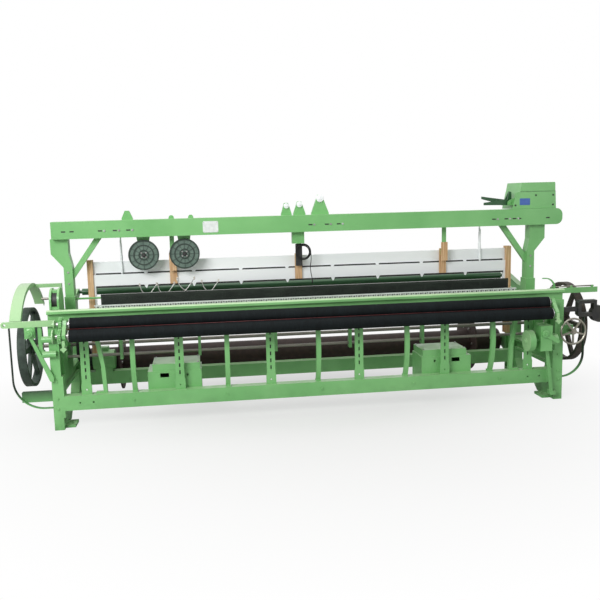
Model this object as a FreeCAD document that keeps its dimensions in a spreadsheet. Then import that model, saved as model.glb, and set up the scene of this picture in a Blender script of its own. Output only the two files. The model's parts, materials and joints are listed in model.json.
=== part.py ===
"""A wide power loom: two cast side frames tied by girts, a portal with the shedding gear
over them, take-up rollers in front, and a sley, main shaft and warp beam inside.

Millimetres. X runs along the machine, Y from the weaver's side to the warp side, Z up.
The origin is the middle of the four floor bolts, on the floor.
"""
import FreeCAD, Part
import math
import os
import Sketcher
from FreeCAD import Placement, Rotation, Vector

SIZES = {
    # side frames and their feet
    "side_span": 4500,
    "leg_width": 80,
    "frame_depth": 1100,
    "frame_height": 920,
    "web_thickness": 26,
    "flange_wall": 24,
    "foot_length": 330,
    "leg_depth": 180,
    "arch_height": 300,
    "foot_pad_width": 80,
    "foot_pad_thickness": 24,
    "bolt_setback": 140,
    "floor_bolt_radius": 11,
    # girts
    "girt_bottom": 165,
    "girt_height": 124,
    "girt_depth": 90,
    "girt_end_flange": 14,
    "girt_end_top": 460,
    "rear_girt_front": 850,
    "girt_bolt_radius": 8,
    "girt_bolt_depth": 25,
    "girt_bolt_place": 1975,
    "girt_bolt_spacing": 110,
    # breast beam and what stands under it
    "beam_lip_reach": 12,
    "beam_lip_low_rise": 64,
    "beam_lip_high_rise": 98,
    "beam_back": 110,
    "beam_front_setback": 30,
    "upright_pitch": 781,
    "upright_shift": 22,
    "upright_width": 74,
    "upright_foot_width": 86,
    "upright_foot_height": 100,
    "upright_plate": 12,
    "upright_slot_width": 12,
    "upright_slot_height": 35,
    "upright_slot_pitch": 61,
    "arm_pitch": 787.5,
    "arm_width": 40,
    "arm_wall": 32,
    "arm_bow": 40,
    "left_stay_setback": 350,
    "right_stay_setback": 398,
    "stay_width": 34,
    # take-up rollers
    "roller_radius": 52,
    "roller_core_radius": 30,
    "roller_length": 4100,
    "upper_roller_forward": 94,
    "upper_roller_drop": 4,
    "lower_roller_forward": 163,
    "lower_roller_drop": 91,
    "roller_plate": 6,
    "roller_journal_radius": 18,
    "bracket_gap": 20,
    "roller_bracket_thickness": 30,
    "gear_teeth": 24,
    "gear_width": 26,
    "tooth_depth": 9,
    "running_clearance": 0.06,
    "seat_gap": 0.3,
    # portal
    "post_inner": 2100,
    "post_width": 75,
    "post_front": 460,
    "post_depth": 100,
    "post_foot_width": 90,
    "post_foot_height": 150,
    "post_straight_top": 1330,
    "post_head_bottom": 1450,
    "post_head_width": 150,
    "post_head_offset": 25,
    "portal_bottom": 1580,
    "portal_height": 150,
    "portal_front": 400,
    "portal_depth": 150,
    "portal_left": 2250,
    "portal_right": 2420,
    "portal_end_radius": 60,
    "portal_slot_half": 18,
    "coil_radius": 74,
    "coil_bundle": 11,
    "portal_slot_rise": 6,
    "brace_width": 62,
    # shedding gear
    "heald_front": 594,
    "heald_thickness": 15,
    "heald_pitch": 20,
    "heald_length": 3930,
    "heald_rail_height": 102,
    "heald_top": 1240,
    "heald_window": 330,
    "heald_lift": 115,
    "heald_end_width": 36,
    "hook_pitch": 432,
    "hook_shift": 32,
    "hook_drop": 30,
    "guide_bottom": 640,
    "guide_top": 1375,
    "guide_width": 50,
    "guide_bite": 20,
    "lifting_rod_place": 1690,
    "lifting_rod_radius": 7,
    "lifting_rod_top": 1660,
    "sheave_radius": 135,
    "sheave_width": 32,
    "sheave_height": 1415,
    "sheave_axle_radius": 10,
    "first_sheave_place": 1480,
    "second_sheave_place": 1120,
    "slat_width": 46,
    "slat_thickness": 14,
    "slat_length": 270,
    "dobby_left": 2000,
    "dobby_width": 355,
    "dobby_front": 420,
    "dobby_depth": 340,
    "dobby_body_height": 160,
    "dobby_cover_height": 84,
    "dobby_lever_length": 250,
    "dobby_lever_plate": 14,
    "lever_pin_radius": 9,
    "peak_eye_height": 60,
    "peak_eye_radius": 9,
    # main shaft and its wheels
    "main_shaft_back": 480,
    "main_shaft_height": 635,
    "main_shaft_radius": 15,
    "wheel_inner": 2470,
    "wheel_rim_width": 70,
    "wheel_rim_wall": 26,
    "left_wheel_radius": 350,
    "right_wheel_radius": 380,
    "wheel_hub_radius": 62,
    "wheel_spokes": 6,
    "guard_radius": 565,
    "guard_wall": 8,
    "guard_width": 90,
    "driven_pulley_radius": 150,
    "motor_pulley_radius": 55,
    "pulley_inner": 2050,
    "pulley_width": 40,
    "belt_thickness": 10,
    "belt_width": 26,
    "motor_back": 890,
    "motor_height": 400,
    "motor_radius": 92,
    "motor_length": 200,
    "motor_gap": 15,
    "motor_shaft_radius": 14,
    "motor_shaft_depth": 60,
    # sley
    "sley_shaft_back": 300,
    "sley_shaft_height": 565,
    "sley_shaft_radius": 13,
    "sword_pitch": 680,
    "race_half_length": 1900,
    "race_front": 225,
    "race_depth": 110,
    "race_bottom": 940,
    "race_height": 45,
    "track_base": 6,
    "track_rail": 10,
    "track_rail_depth": 20,
    "track_depth": 32,
    "tooth_pitch": 44,
    "tooth_width": 30,
    "tooth_height": 13,
    "reed_half_length": 1850,
    "reed_height": 112,
    "reed_thickness": 14,
    "reed_bays": 14,
    "reed_rib": 16,
    "reed_cap": 22,
    "reed_foot": 12,
    "reed_pocket": 4,
    "sword_thickness": 24,
    # warp side
    "warp_beam_back": 1250,
    "warp_beam_height": 320,
    "warp_beam_radius": 120,
    "warp_flange_radius": 300,
    "warp_flange_place": 1800,
    "warp_flange_wall": 15,
    "warp_journal_radius": 25,
    "back_rest_back": 1200,
    "back_rest_height": 1020,
    "back_rest_radius": 32,
    "back_rest_journal_radius": 16,
    # covers and ends
    "left_box_inner": 1012,
    "right_box_inner": 955,
    "box_width": 458,
    "box_depth": 300,
    "box_bottom": 175,
    "box_top": 435,
    "box_wall": 3,
    "lid_height": 65,
    "lid_inset": 42,
    "rail_place": 2560,
    "rail_thickness": 8,
    "rail_width": 30,
    "left_rail_bend": 250,
    "right_rail_place": 2472,
    "right_rail_bend": 215,
    "rail_foot": 195,
    "left_bar_drop": 27,
    "housing_radius": 27,
    "housing_bore": 12,
    "cover_radius": 110,
    "cover_spring": 150,
    "cover_plate": 16,
    "cover_body": 110,
    "handwheel_place": 2330,
    "handwheel_height": 630,
    "handwheel_radius": 125,
    "handwheel_rim": 9,
    "handwheel_spokes": 5,
    "handwheel_shaft_radius": 14,
    "take_up_pulley_place": 1892,
    "take_up_pulley_forward": 76,
    "take_up_pulley_height": 576,
    "take_up_pulley_radius": 95,
    "take_up_pulley_width": 50,
    "take_up_pin_radius": 12,
    "take_up_box_left": 1975,
    "take_up_box_width": 108,
    "take_up_box_depth": 110,
    "take_up_box_bottom": 484,
    "take_up_box_top": 712,
    "take_up_boss_radius": 45,
    # weft fingers
    "finger_rise": 125,
    "finger_rail_radius": 9,
    "finger_rail_end": 760,
    "finger_wire_radius": 3.5,
    "finger_clamp": 24,
    "finger_tip_radius": 6,
    "finger_tip_length": 24,
}

doc = FreeCAD.newDocument("power_loom")
sheet = doc.addObject("Spreadsheet::Sheet", "Sizes")


class Size:
    """A number that also knows the sheet expression it comes from."""

    def __init__(self, value, text):
        self.value = float(value)
        self.text = text

    def join(self, other, sign, swap=False):
        other = size(other)
        first, second = (other, self) if swap else (self, other)
        if sign == "+":
            value = first.value + second.value
        elif sign == "-":
            value = first.value - second.value
        elif sign == "*":
            value = first.value * second.value
        else:
            value = first.value / second.value
        return Size(value, f"({first.text} {sign} {second.text})")

    def __add__(self, other):
        return self.join(other, "+")

    def __radd__(self, other):
        return self.join(other, "+", True)

    def __sub__(self, other):
        return self.join(other, "-")

    def __rsub__(self, other):
        return self.join(other, "-", True)

    def __mul__(self, other):
        return self.join(other, "*")

    def __rmul__(self, other):
        return self.join(other, "*", True)

    def __truediv__(self, other):
        return self.join(other, "/")

    def __neg__(self):
        return Size(0, "0") - self

    def __float__(self):
        return self.value


def size(number):
    """A plain number as a Size; a Size as it is."""
    return number if isinstance(number, Size) else Size(number, repr(float(number)))


class Sheet:
    """The driving dimensions, each written once and read by its name."""


for row, (alias, number) in enumerate(SIZES.items(), 1):
    sheet.set(f"A{row}", alias)
    sheet.set(f"B{row}", str(number))
    sheet.setAlias(f"B{row}", alias)
    setattr(Sheet, alias, Size(number, f"Sizes.{alias}"))
doc.recompute()
S = Sheet

# ---------------------------------------------------------------- ways to make a solid

NODES = []
AXIS_TURN = {
    "X": Rotation(Vector(0, 1, 0), 90),
    "Y": Rotation(Vector(1, 0, 0), -90),
    "Z": Rotation(),
}
SKETCH_PLANES = {
    "XY": ("XY_Plane", False, "z"),
    "XZ": ("XZ_Plane", True, "y"),
    "YZ": ("YZ_Plane", False, "x"),
}


def set_size(thing, prop, length):
    """Give a property its value and tie it to the sheet."""
    setattr(thing, prop, size(length).value)
    thing.setExpression(prop, size(length).text)


def set_place(thing, point, turn=Rotation()):
    """Place a thing at a point whose coordinates are tied to the sheet."""
    x, y, z = (size(c) for c in point)
    thing.Placement = Placement(Vector(x.value, y.value, z.value), turn)
    for letter, coordinate in zip("xyz", (x, y, z)):
        thing.setExpression(f".Placement.Base.{letter}", coordinate.text)


def block(name, x, y, z):
    """A block between two planes each way."""
    solid = doc.addObject("Part::Box", name)
    for prop, (low, high) in zip(("Length", "Width", "Height"), (x, y, z)):
        set_size(solid, prop, size(high) - low)
    set_place(solid, (x[0], y[0], z[0]))
    return solid


def rod(name, axis, reach, centre, radius):
    """A round bar along an axis, from reach[0] to reach[1]."""
    solid = doc.addObject("Part::Cylinder", name)
    set_size(solid, "Radius", radius)
    set_size(solid, "Height", size(reach[1]) - reach[0])
    first, second = centre
    point = {"X": (reach[0], first, second), "Y": (first, reach[0], second), "Z": (first, second, reach[0])}
    set_place(solid, point[axis], AXIS_TURN[axis])
    return solid


def tie_point(sketch, geometry, end, point):
    """Hold a sketch point at its two coordinates."""
    for kind, coordinate in zip(("DistanceX", "DistanceY"), point):
        index = sketch.addConstraint(Sketcher.Constraint(kind, -1, 1, geometry, end, coordinate.value))
        sketch.setExpression(f"Constraints[{index}]", coordinate.text)


def draw_loop(sketch, corners):
    """A closed outline of straight lines through the corners."""
    first = sketch.GeometryCount
    count = len(corners)
    points = [(size(u), size(v)) for u, v in corners]
    for start, end in zip(points, points[1:] + points[:1]):
        line_start = Vector(start[0].value, start[1].value, 0)
        line_end = Vector(end[0].value, end[1].value, 0)
        sketch.addGeometry(Part.LineSegment(line_start, line_end))
    for step in range(count):
        following = first + (step + 1) % count
        sketch.addConstraint(Sketcher.Constraint("Coincident", first + step, 2, following, 1))
    for step, point in enumerate(points):
        tie_point(sketch, first + step, 1, point)


def draw_circle(sketch, circle):
    """A round hole: across, up, radius."""
    across, up, radius = (size(c) for c in circle)
    centre = Vector(across.value, up.value, 0)
    index = sketch.addGeometry(Part.Circle(centre, Vector(0, 0, 1), radius.value))
    tie_point(sketch, index, 3, (across, up))
    held = sketch.addConstraint(Sketcher.Constraint("Radius", index, radius.value))
    sketch.setExpression(f"Constraints[{held}]", radius.text)


def plate(name, plane, outline, reach, windows=(), holes=()):
    """A padded outline in a plane, between two distances along the plane's axis."""
    plane_name, reverse, letter = SKETCH_PLANES[plane]
    body = doc.addObject("PartDesign::Body", name)
    sketch = body.newObject("Sketcher::SketchObject", name + "_outline")
    origin = [feature for feature in body.Origin.OriginFeatures if feature.Role == plane_name]
    sketch.AttachmentSupport = [(origin[0], "")]
    sketch.MapMode = "FlatFace"
    for loop in (outline, *windows):
        draw_loop(sketch, loop)
    for circle in holes:
        draw_circle(sketch, circle)
    pad = body.newObject("PartDesign::Pad", name + "_pad")
    pad.Profile = sketch
    set_size(pad, "Length", size(reach[1]) - reach[0])
    pad.Reversed = reverse
    start = [size(reach[0]) if letter == axis else size(0) for axis in "xyz"]
    set_place(body, start)
    return body


def cut(name, base, tools):
    """The base less every tool."""
    result = doc.addObject("Part::Cut", name)
    result.Base = base
    result.Tool = tools[0] if len(tools) == 1 else fuse(name + "_tools", tools)
    return result


def fuse(name, pieces):
    """Pieces joined into one solid."""
    result = doc.addObject("Part::MultiFuse", name)
    result.Shapes = pieces
    return result


def group(name, pieces):
    """Separate pieces of one kind kept in one node."""
    result = doc.addObject("Part::Compound", name)
    result.Links = pieces
    return result


def mirrored(name, piece):
    """The same piece at the machine's other end."""
    result = doc.addObject("Part::Mirroring", name)
    result.Source = piece
    result.Normal = Vector(1, 0, 0)
    return result


def shaped(name, shape):
    """A piece whose solid is worked out here from the sheet's sizes."""
    result = doc.addObject("Part::Feature", name)
    result.Shape = shape
    return result


def node(label, piece):
    """Name a finished piece as one node of the loom."""
    piece.Label = label
    NODES.append(piece)
    return piece


def strip_face(points, bulges):
    """A flat face in the XZ or YZ plane through points; a bulge is the middle of an arc."""
    edges = []
    for start, end, middle in zip(points, points[1:] + points[:1], bulges):
        if middle is None:
            edges.append(Part.LineSegment(start, end).toShape())
        else:
            edges.append(Part.Arc(start, middle, end).toShape())
    return Part.Face(Part.Wire(edges))


# ---------------------------------------------------------------- places that pieces share

FRONT = -(S.frame_depth / 2)
LEG_OUTER = S.side_span / 2
LEG_INNER = LEG_OUTER - S.leg_width
RECESS = (S.leg_width - S.web_thickness) / 2
GIRT_TOP = S.girt_bottom + S.girt_height
GIRT_BOLT_INNER = S.girt_bolt_place - S.girt_bolt_spacing / 2
GIRT_BOLT_OUTER = S.girt_bolt_place + S.girt_bolt_spacing / 2
PORTAL_TOP = S.portal_bottom + S.portal_height
SHAFT_Y = FRONT + S.main_shaft_back
SLEY_Y = FRONT + S.sley_shaft_back
LIP_BOTTOM = S.frame_height + S.beam_lip_low_rise
LIP_TOP = S.frame_height + S.beam_lip_high_rise
UPPER_ROLLER = (FRONT - S.upper_roller_forward, S.frame_height - S.upper_roller_drop)
LOWER_ROLLER = (FRONT - S.lower_roller_forward, S.frame_height - S.lower_roller_drop)
ROLLER_END = S.roller_length / 2
BRACKET_INNER = ROLLER_END + S.roller_plate + S.bracket_gap
BRACKET_OUTER = BRACKET_INNER + S.roller_bracket_thickness
MAIN_BORE = S.main_shaft_radius + S.running_clearance
SLEY_BORE = S.sley_shaft_radius + S.running_clearance
ROLLER_BORE = S.roller_journal_radius + S.running_clearance


def back(distance):
    """A plane so far behind the front of the side frames."""
    return FRONT + distance


# ---------------------------------------------------------------- side frames

def side_frame(name):
    """The right casting: legs, feet and top joined by a web between two flanges."""
    depth = S.frame_depth
    rear_leg = depth - S.leg_depth - 80
    foot = S.foot_length
    outline = [
        (back(0), 0), (back(foot), 0), (back(foot + 90), 70), (back(foot + 70), 130),
        (back(S.leg_depth + 20), 220), (back(S.leg_depth), S.arch_height),
        (back(rear_leg), S.arch_height), (back(rear_leg), 200), (back(rear_leg - 60), 120),
        (back(rear_leg - 60), 0), (back(depth), 0), (back(depth), S.frame_height - 160),
        (back(depth - 120), S.frame_height), (back(0), S.frame_height),
    ]
    top = S.frame_height
    upper_window = [
        (back(210), top - 275), (back(390), top - 275), (back(390), top - 130), (back(210), top - 130),
    ]
    rear_window = [
        (back(590), S.arch_height + 110), (back(850), S.arch_height + 110),
        (back(880), S.arch_height + 170), (back(880), top - 160), (back(590), top - 160),
    ]
    plate_body = plate(name + "_plate", "YZ", outline, (LEG_INNER, LEG_OUTER), (upper_window, rear_window))
    wall = S.flange_wall
    leg_recess = [
        (back(wall), 60), (back(S.leg_depth - 30), 130), (back(S.leg_depth - 24), top - 60),
        (back(wall), top - 60),
    ]
    sill_recess = [
        (back(S.leg_depth), S.arch_height + 24), (back(rear_leg + 20), S.arch_height + 24),
        (back(rear_leg + 20), S.arch_height + 86), (back(S.leg_depth), S.arch_height + 86),
    ]
    rear_recess = [
        (back(rear_leg + 24), 60), (back(depth - wall), 60), (back(depth - wall), top - 180),
        (back(900), top - 180), (back(900), S.arch_height), (back(rear_leg + 24), S.arch_height),
    ]
    top_recess = [
        (back(S.leg_depth), top - 105), (back(depth - 190), top - 105), (back(depth - 150), top - 24),
        (back(S.leg_depth), top - 24),
    ]
    tools = []
    for number, corners in enumerate((leg_recess, sill_recess, rear_recess, top_recess)):
        inner = (LEG_INNER - 1, LEG_INNER + RECESS)
        outer = (LEG_OUTER - RECESS, LEG_OUTER + 1)
        tools.append(plate(f"{name}_inner_recess_{number}", "YZ", corners, inner))
        tools.append(plate(f"{name}_outer_recess_{number}", "YZ", corners, outer))
    casting = cut(name + "_casting", plate_body, tools)
    boss_reach = (LEG_INNER - 14, LEG_OUTER + 14)
    bosses = [
        rod(name + "_main_boss", "X", boss_reach, (SHAFT_Y, S.main_shaft_height), 62),
        rod(name + "_sley_boss", "X", boss_reach, (SLEY_Y, S.sley_shaft_height), 46),
        block(
            name + "_saddle", (LEG_INNER - 90, LEG_INNER), (back(440), back(580)),
            (S.frame_height - 60, S.frame_height),
        ),
        block(
            name + "_girt_pad", (LEG_INNER, LEG_OUTER - 40),
            (back(S.rear_girt_front), back(S.rear_girt_front + S.girt_depth)),
            (S.girt_bottom, GIRT_TOP),
        ),
    ]
    pad_inner = LEG_INNER - S.foot_pad_width
    for end, (near, far) in enumerate(((60, 220), (depth - 220, depth - 60))):
        bosses.append(block(f"{name}_foot_pad_{end}", (pad_inner, LEG_INNER), (back(near), back(far)),
                            (0, S.foot_pad_thickness)))
    whole = fuse(name + "_whole", [casting, *bosses])
    bores = [
        rod(
            name + "_main_bore", "X", (LEG_INNER - 30, LEG_OUTER + 30), (SHAFT_Y, S.main_shaft_height),
            MAIN_BORE,
        ),
        rod(
            name + "_sley_bore", "X", (LEG_INNER - 30, LEG_OUTER + 30), (SLEY_Y, S.sley_shaft_height),
            SLEY_BORE,
        ),
    ]
    for end, distance in enumerate((S.bolt_setback, depth - S.bolt_setback)):
        place = (LEG_INNER - S.foot_pad_width / 2, back(distance))
        bores.append(
            rod(f"{name}_bolt_{end}", "Z", (-5, S.foot_pad_thickness + 5), place, S.floor_bolt_radius)
        )
    return cut(name, whole, bores)


right_frame = node("right_side_frame", side_frame("right_frame"))
node("left_side_frame", mirrored("left_frame", right_frame))

# ---------------------------------------------------------------- girts and breast beam

def girt(name, near):
    """A bar between the side frames, with a tall flange at each end."""
    far = near + S.girt_depth
    bar = block(name + "_bar", (-LEG_INNER, LEG_INNER), (back(near), back(far)), (S.girt_bottom, GIRT_TOP))
    flange = block(
        name + "_flange", (LEG_INNER - S.girt_end_flange, LEG_INNER), (back(near), back(far)),
        (S.girt_bottom - 60, S.girt_end_top),
    )
    return fuse(name, [bar, flange, mirrored(name + "_left_flange", flange)])


girt_holes = []
for number, place in enumerate((-GIRT_BOLT_OUTER, -GIRT_BOLT_INNER, GIRT_BOLT_INNER, GIRT_BOLT_OUTER)):
    middle = (place, S.girt_bottom + S.girt_height / 2)
    reach = (FRONT - 5, FRONT + S.girt_bolt_depth)
    girt_holes.append(rod(f"girt_hole_{number}", "Y", reach, middle, S.girt_bolt_radius))
node("front_girt", cut("front_girt", girt("front_girt_bar", size(0)), girt_holes))
node("rear_girt", girt("rear_girt", S.rear_girt_front))

BEAM_FRONT = back(S.beam_front_setback)
beam_section = [
    (BEAM_FRONT, S.frame_height), (back(S.beam_back), S.frame_height),
    (back(S.beam_back), LIP_TOP - 13), (back(40), LIP_TOP), (back(0), LIP_TOP),
    (back(-S.beam_lip_reach), LIP_TOP - 8), (back(-S.beam_lip_reach), LIP_BOTTOM + 6),
    (back(0), LIP_BOTTOM), (BEAM_FRONT, LIP_BOTTOM),
]
node("breast_beam", plate("breast_beam", "YZ", beam_section, (-LEG_OUTER, LEG_OUTER)))


def slotted_upright(number, place):
    """A flat upright with a wide bolted foot, a round hole and a column of adjusting slots."""
    half = S.upright_width / 2
    half_foot = S.upright_foot_width / 2
    foot_top = GIRT_TOP + S.upright_foot_height
    outline = [
        (place - half_foot, GIRT_TOP), (place + half_foot, GIRT_TOP), (place + half_foot, foot_top - 20),
        (place + half, foot_top), (place + half, S.frame_height), (place - half, S.frame_height),
        (place - half, foot_top), (place - half_foot, foot_top - 20),
    ]
    slots = []
    for step in range(6):
        low = foot_top + 30 + S.upright_slot_pitch * step
        high = low + S.upright_slot_height
        wide = S.upright_slot_width / 2
        slots.append([(place - wide, low), (place + wide, low), (place + wide, high), (place - wide, high)])
    hole = (place, GIRT_TOP + S.upright_foot_height * 0.4, 7)
    return plate(f"upright_{number}", "XZ", outline, (back(42 - S.upright_plate), back(42)), slots, [hole])


uprights = []
for number in range(6):
    uprights.append(slotted_upright(number, S.upright_pitch * (number - 2.5) - S.upright_shift))
node("slotted_uprights", group("slotted_uprights", uprights))


def beam_arm(number, place):
    """A cast arm that stands on the front girt and bows forward to the breast beam."""
    front = FRONT.value
    low = GIRT_TOP.value
    high = S.frame_height.value
    wall = S.arm_wall.value
    seat = BEAM_FRONT.value + 6
    middle = (low + high) / 2 + 40
    bow = front - S.arm_bow.value

    def point(y, z):
        return Vector(0, y, z)

    points = [
        point(front + 20, low), point(front + 86, low), point(front + 86, low + 14),
        point(front + 30 + wall, low + 14), point(seat + wall, high), point(seat, high),
        point(front + 30, low + 14), point(front + 20, low + 14),
    ]
    bulges = [None, None, None, point(bow + wall, middle), None, point(bow, middle), None, None]
    face = strip_face(points, bulges)
    solid = face.extrude(Vector(S.arm_width.value, 0, 0))
    solid.translate(Vector(place.value - S.arm_width.value / 2, 0, 0))
    return solid


arms = []
for number in range(5):
    arms.append(beam_arm(number, S.arm_pitch * (number - 2)))
node("roller_support_arms", shaped("roller_support_arms", Part.makeCompound(arms)))


def bent_stay(name, side, setback):
    """A strap that leans outwards from its foot on the girt up to the breast beam."""
    knee = LEG_INNER - setback
    wide = S.stay_width
    high = S.frame_height
    shape = [
        (knee - 14, GIRT_TOP), (knee + 80, GIRT_TOP), (knee + 80, GIRT_TOP + 14),
        (knee + wide - 14, GIRT_TOP + 14), (knee + wide - 4, GIRT_TOP + 240), (knee + wide + 62, high),
        (knee + 62, high), (knee - 4, GIRT_TOP + 240),
    ]
    outline = [(side * across, up) for across, up in shape]
    return plate(name, "XZ", outline, (back(48), back(84)))


stays = [
    bent_stay("right_stay", 1, S.right_stay_setback), bent_stay("left_stay", -1, S.left_stay_setback),
]
node("bent_stays", group("bent_stays", stays))

# ---------------------------------------------------------------- take-up rollers

def roller_bracket(name):
    """A cast bracket that carries both roller journals and bolts to the side frame."""
    upper_y, upper_z = UPPER_ROLLER
    lower_y, lower_z = LOWER_ROLLER
    outline = [
        (lower_y - 20, lower_z - 34), (lower_y + 24, lower_z - 34), (back(10), lower_z - 60),
        (back(60), lower_z - 60), (back(60), S.frame_height - 30), (back(0), S.frame_height - 10),
        (upper_y + 26, upper_z + 34), (upper_y - 20, upper_z + 34), (upper_y - 36, upper_z),
        (lower_y - 38, lower_z + 14), (lower_y - 38, lower_z - 14),
    ]
    holes = [(lower_y, lower_z, ROLLER_BORE), (upper_y, upper_z, ROLLER_BORE)]
    web = plate(name + "_web", "YZ", outline, (BRACKET_INNER, BRACKET_OUTER), (), holes)
    lug = block(
        name + "_lug", (BRACKET_OUTER, LEG_INNER), (back(16), back(60)),
        (lower_z - 60, S.frame_height - 30),
    )
    return fuse(name, [web, lug])


right_bracket = roller_bracket("right_roller_bracket")
node(
    "roller_brackets",
    group("roller_brackets", [right_bracket, mirrored("left_roller_bracket", right_bracket)]),
)


def roller_parts(which, centre):
    """The rubber-covered tube, and the steel shaft with its end plates."""
    cover = rod(which + "_cover", "X", (-ROLLER_END, ROLLER_END), centre, S.roller_radius)
    bore = rod(which + "_bore", "X", (-ROLLER_END - 5, ROLLER_END + 5), centre, S.roller_core_radius)
    node(which + "_roller", cut(which + "_tube", cover, [bore]))
    core = rod(which + "_core", "X", (-ROLLER_END, ROLLER_END), centre, S.roller_core_radius)
    shaft_end = LEG_INNER - 12
    pieces = [
        core,
        rod(which + "_journal", "X", (-shaft_end, BRACKET_OUTER + 8), centre, S.roller_journal_radius),
    ]
    for side, low, high in (("left", -ROLLER_END - S.roller_plate, -ROLLER_END),
                            ("right", ROLLER_END, ROLLER_END + S.roller_plate)):
        pieces.append(rod(f"{which}_{side}_plate", "X", (low, high), centre, S.roller_radius - 4))
    node(which + "_roller_shaft", fuse(which + "_shaft", pieces))


roller_parts("upper", UPPER_ROLLER)
roller_parts("lower", LOWER_ROLLER)


def roller_gear(which, centre, other, turn):
    """A spur gear at the left end of a roller shaft, in mesh with its twin."""
    teeth = int(S.gear_teeth.value)
    apart = math.hypot(centre[0].value - other[0].value, centre[1].value - other[1].value)
    pitch_radius = apart / 2
    tip = pitch_radius + S.tooth_depth.value * 0.44
    root = pitch_radius - S.tooth_depth.value * 0.56
    toward = math.atan2(other[1].value - centre[1].value, other[0].value - centre[0].value)
    step = 2 * math.pi / teeth
    corners = []
    for tooth in range(teeth):
        middle = toward + (tooth + turn) * step
        for radius, share in ((root, -0.34), (tip, -0.13), (tip, 0.13), (root, 0.34)):
            angle = middle + share * step
            corners.append(Vector(0, radius * math.cos(angle), radius * math.sin(angle)))
    face = strip_face(corners, [None] * len(corners))
    wheel = face.extrude(Vector(S.gear_width.value, 0, 0))
    bore = Part.makeCylinder(
        S.roller_journal_radius.value, S.gear_width.value, Vector(0, 0, 0), Vector(1, 0, 0),
    )
    wheel = wheel.cut(bore)
    low = -(BRACKET_OUTER.value + 4 + S.gear_width.value)
    wheel.translate(Vector(low, centre[0].value, centre[1].value))
    node(which + "_roller_gear", shaped(which + "_gear", wheel))


roller_gear("upper", UPPER_ROLLER, LOWER_ROLLER, 0)
roller_gear("lower", LOWER_ROLLER, UPPER_ROLLER, 0.5)

# ---------------------------------------------------------------- portal

def arch_post(name):
    """A sheet post: foot block, straight shank, and a head that widens outwards."""
    inner = S.post_inner
    outer = inner + S.post_width
    head_inner = inner + S.post_head_offset
    head_outer = head_inner + S.post_head_width
    outline = [
        (inner, S.frame_height), (outer, S.frame_height), (outer, S.post_straight_top),
        (head_outer, S.post_head_bottom), (head_outer, S.portal_bottom), (head_inner, S.portal_bottom),
        (head_inner, S.post_head_bottom), (inner, S.post_straight_top),
    ]
    shank = plate(name + "_shank", "XZ", outline, (back(S.post_front), back(S.post_front + S.post_depth)))
    grow = (S.post_foot_width - S.post_width) / 2
    foot = block(
        name + "_foot", (inner - grow, outer + grow),
        (back(S.post_front - 12), back(S.post_front + S.post_depth + 12)),
        (S.frame_height, S.frame_height + S.post_foot_height),
    )
    return fuse(name, [shank, foot])


right_post = arch_post("right_post")
node("arch_posts", group("arch_posts", [right_post, mirrored("left_post", right_post)]))


def arch_brace(name):
    """A flat diagonal between a post and the portal beam."""
    inner = S.post_inner
    outline = [
        (inner, S.post_straight_top - 110), (inner, S.post_straight_top - 110 + S.brace_width * 1.3),
        (inner - 200, S.portal_bottom), (inner - 200 - S.brace_width, S.portal_bottom),
    ]
    return plate(name, "XZ", outline, (back(S.post_front + 30), back(S.post_front + 70)))


right_brace = arch_brace("right_brace")
node("arch_braces", group("arch_braces", [right_brace, mirrored("left_brace", right_brace)]))


def portal_beam():
    """The long box beam over the machine, rounded where it runs past the right post."""
    outline = [
        (-S.portal_left, S.portal_bottom), (S.portal_right, S.portal_bottom), (S.portal_right, PORTAL_TOP),
        (-S.portal_left, PORTAL_TOP),
    ]
    beam = plate("portal_bar", "XZ", outline, (back(S.portal_front), back(S.portal_front + S.portal_depth)))
    doc.recompute()
    pad = beam.Tip
    picked = []
    for number, edge in enumerate(pad.Shape.Edges, 1):
        middle = edge.CenterOfMass
        along_y = abs(edge.Vertexes[0].Point.x - edge.Vertexes[-1].Point.x) < 1 and \
            abs(edge.Vertexes[0].Point.z - edge.Vertexes[-1].Point.z) < 1
        if along_y and middle.x > S.portal_right.value - 1:
            picked.append(f"Edge{number}")
    fillet = beam.newObject("PartDesign::Fillet", "portal_end_round")
    fillet.Base = (pad, picked)
    set_size(fillet, "Radius", S.portal_end_radius)
    beam.Tip = fillet
    pockets = []
    middle = S.portal_bottom + S.portal_height * 0.42
    left_gaps = (105, 175, 415, 540, 655, 2265, 2415, 2525, 3995, 4115, 4195, 4245, 4525)
    for number, gap in enumerate(left_gaps):
        place = gap - S.portal_left
        pockets.append(
            block(
                f"portal_slot_{number}", (place - S.portal_slot_half, place + S.portal_slot_half),
                (back(S.portal_front - 5), back(S.portal_front + 8)),
                (middle - S.portal_slot_rise, middle + S.portal_slot_rise),
            )
        )
    return cut("portal_beam", beam, pockets)


node("top_beam", portal_beam())


def bearing_peak(name, place, wide, tall):
    """A triangular bearing bracket on top of the portal beam."""
    eye = PORTAL_TOP + S.peak_eye_height
    outline = [
        (place - wide / 2, PORTAL_TOP), (place + wide / 2, PORTAL_TOP),
        (place + wide / 2, PORTAL_TOP + 14), (place + 18, PORTAL_TOP + tall),
        (place - 18, PORTAL_TOP + tall), (place - wide / 2, PORTAL_TOP + 14),
    ]
    solid = plate(name + "_plate", "XZ", outline, (back(S.portal_front + 90), back(S.portal_front + 130)))
    passage = rod(name + "_passage", "X", (place - wide, place + wide), (back(S.portal_front + 110), eye),
                  S.peak_eye_radius)
    return cut(name, solid, [passage])


def beam_lug(name, place):
    """A low rounded lug on top of the portal beam."""
    outline = [
        (place - 25, PORTAL_TOP), (place + 25, PORTAL_TOP), (place + 20, PORTAL_TOP + 20),
        (place + 9, PORTAL_TOP + 30), (place - 9, PORTAL_TOP + 30), (place - 20, PORTAL_TOP + 20),
    ]
    return plate(name, "XZ", outline, (back(S.portal_front + 95), back(S.portal_front + 125)))


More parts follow.
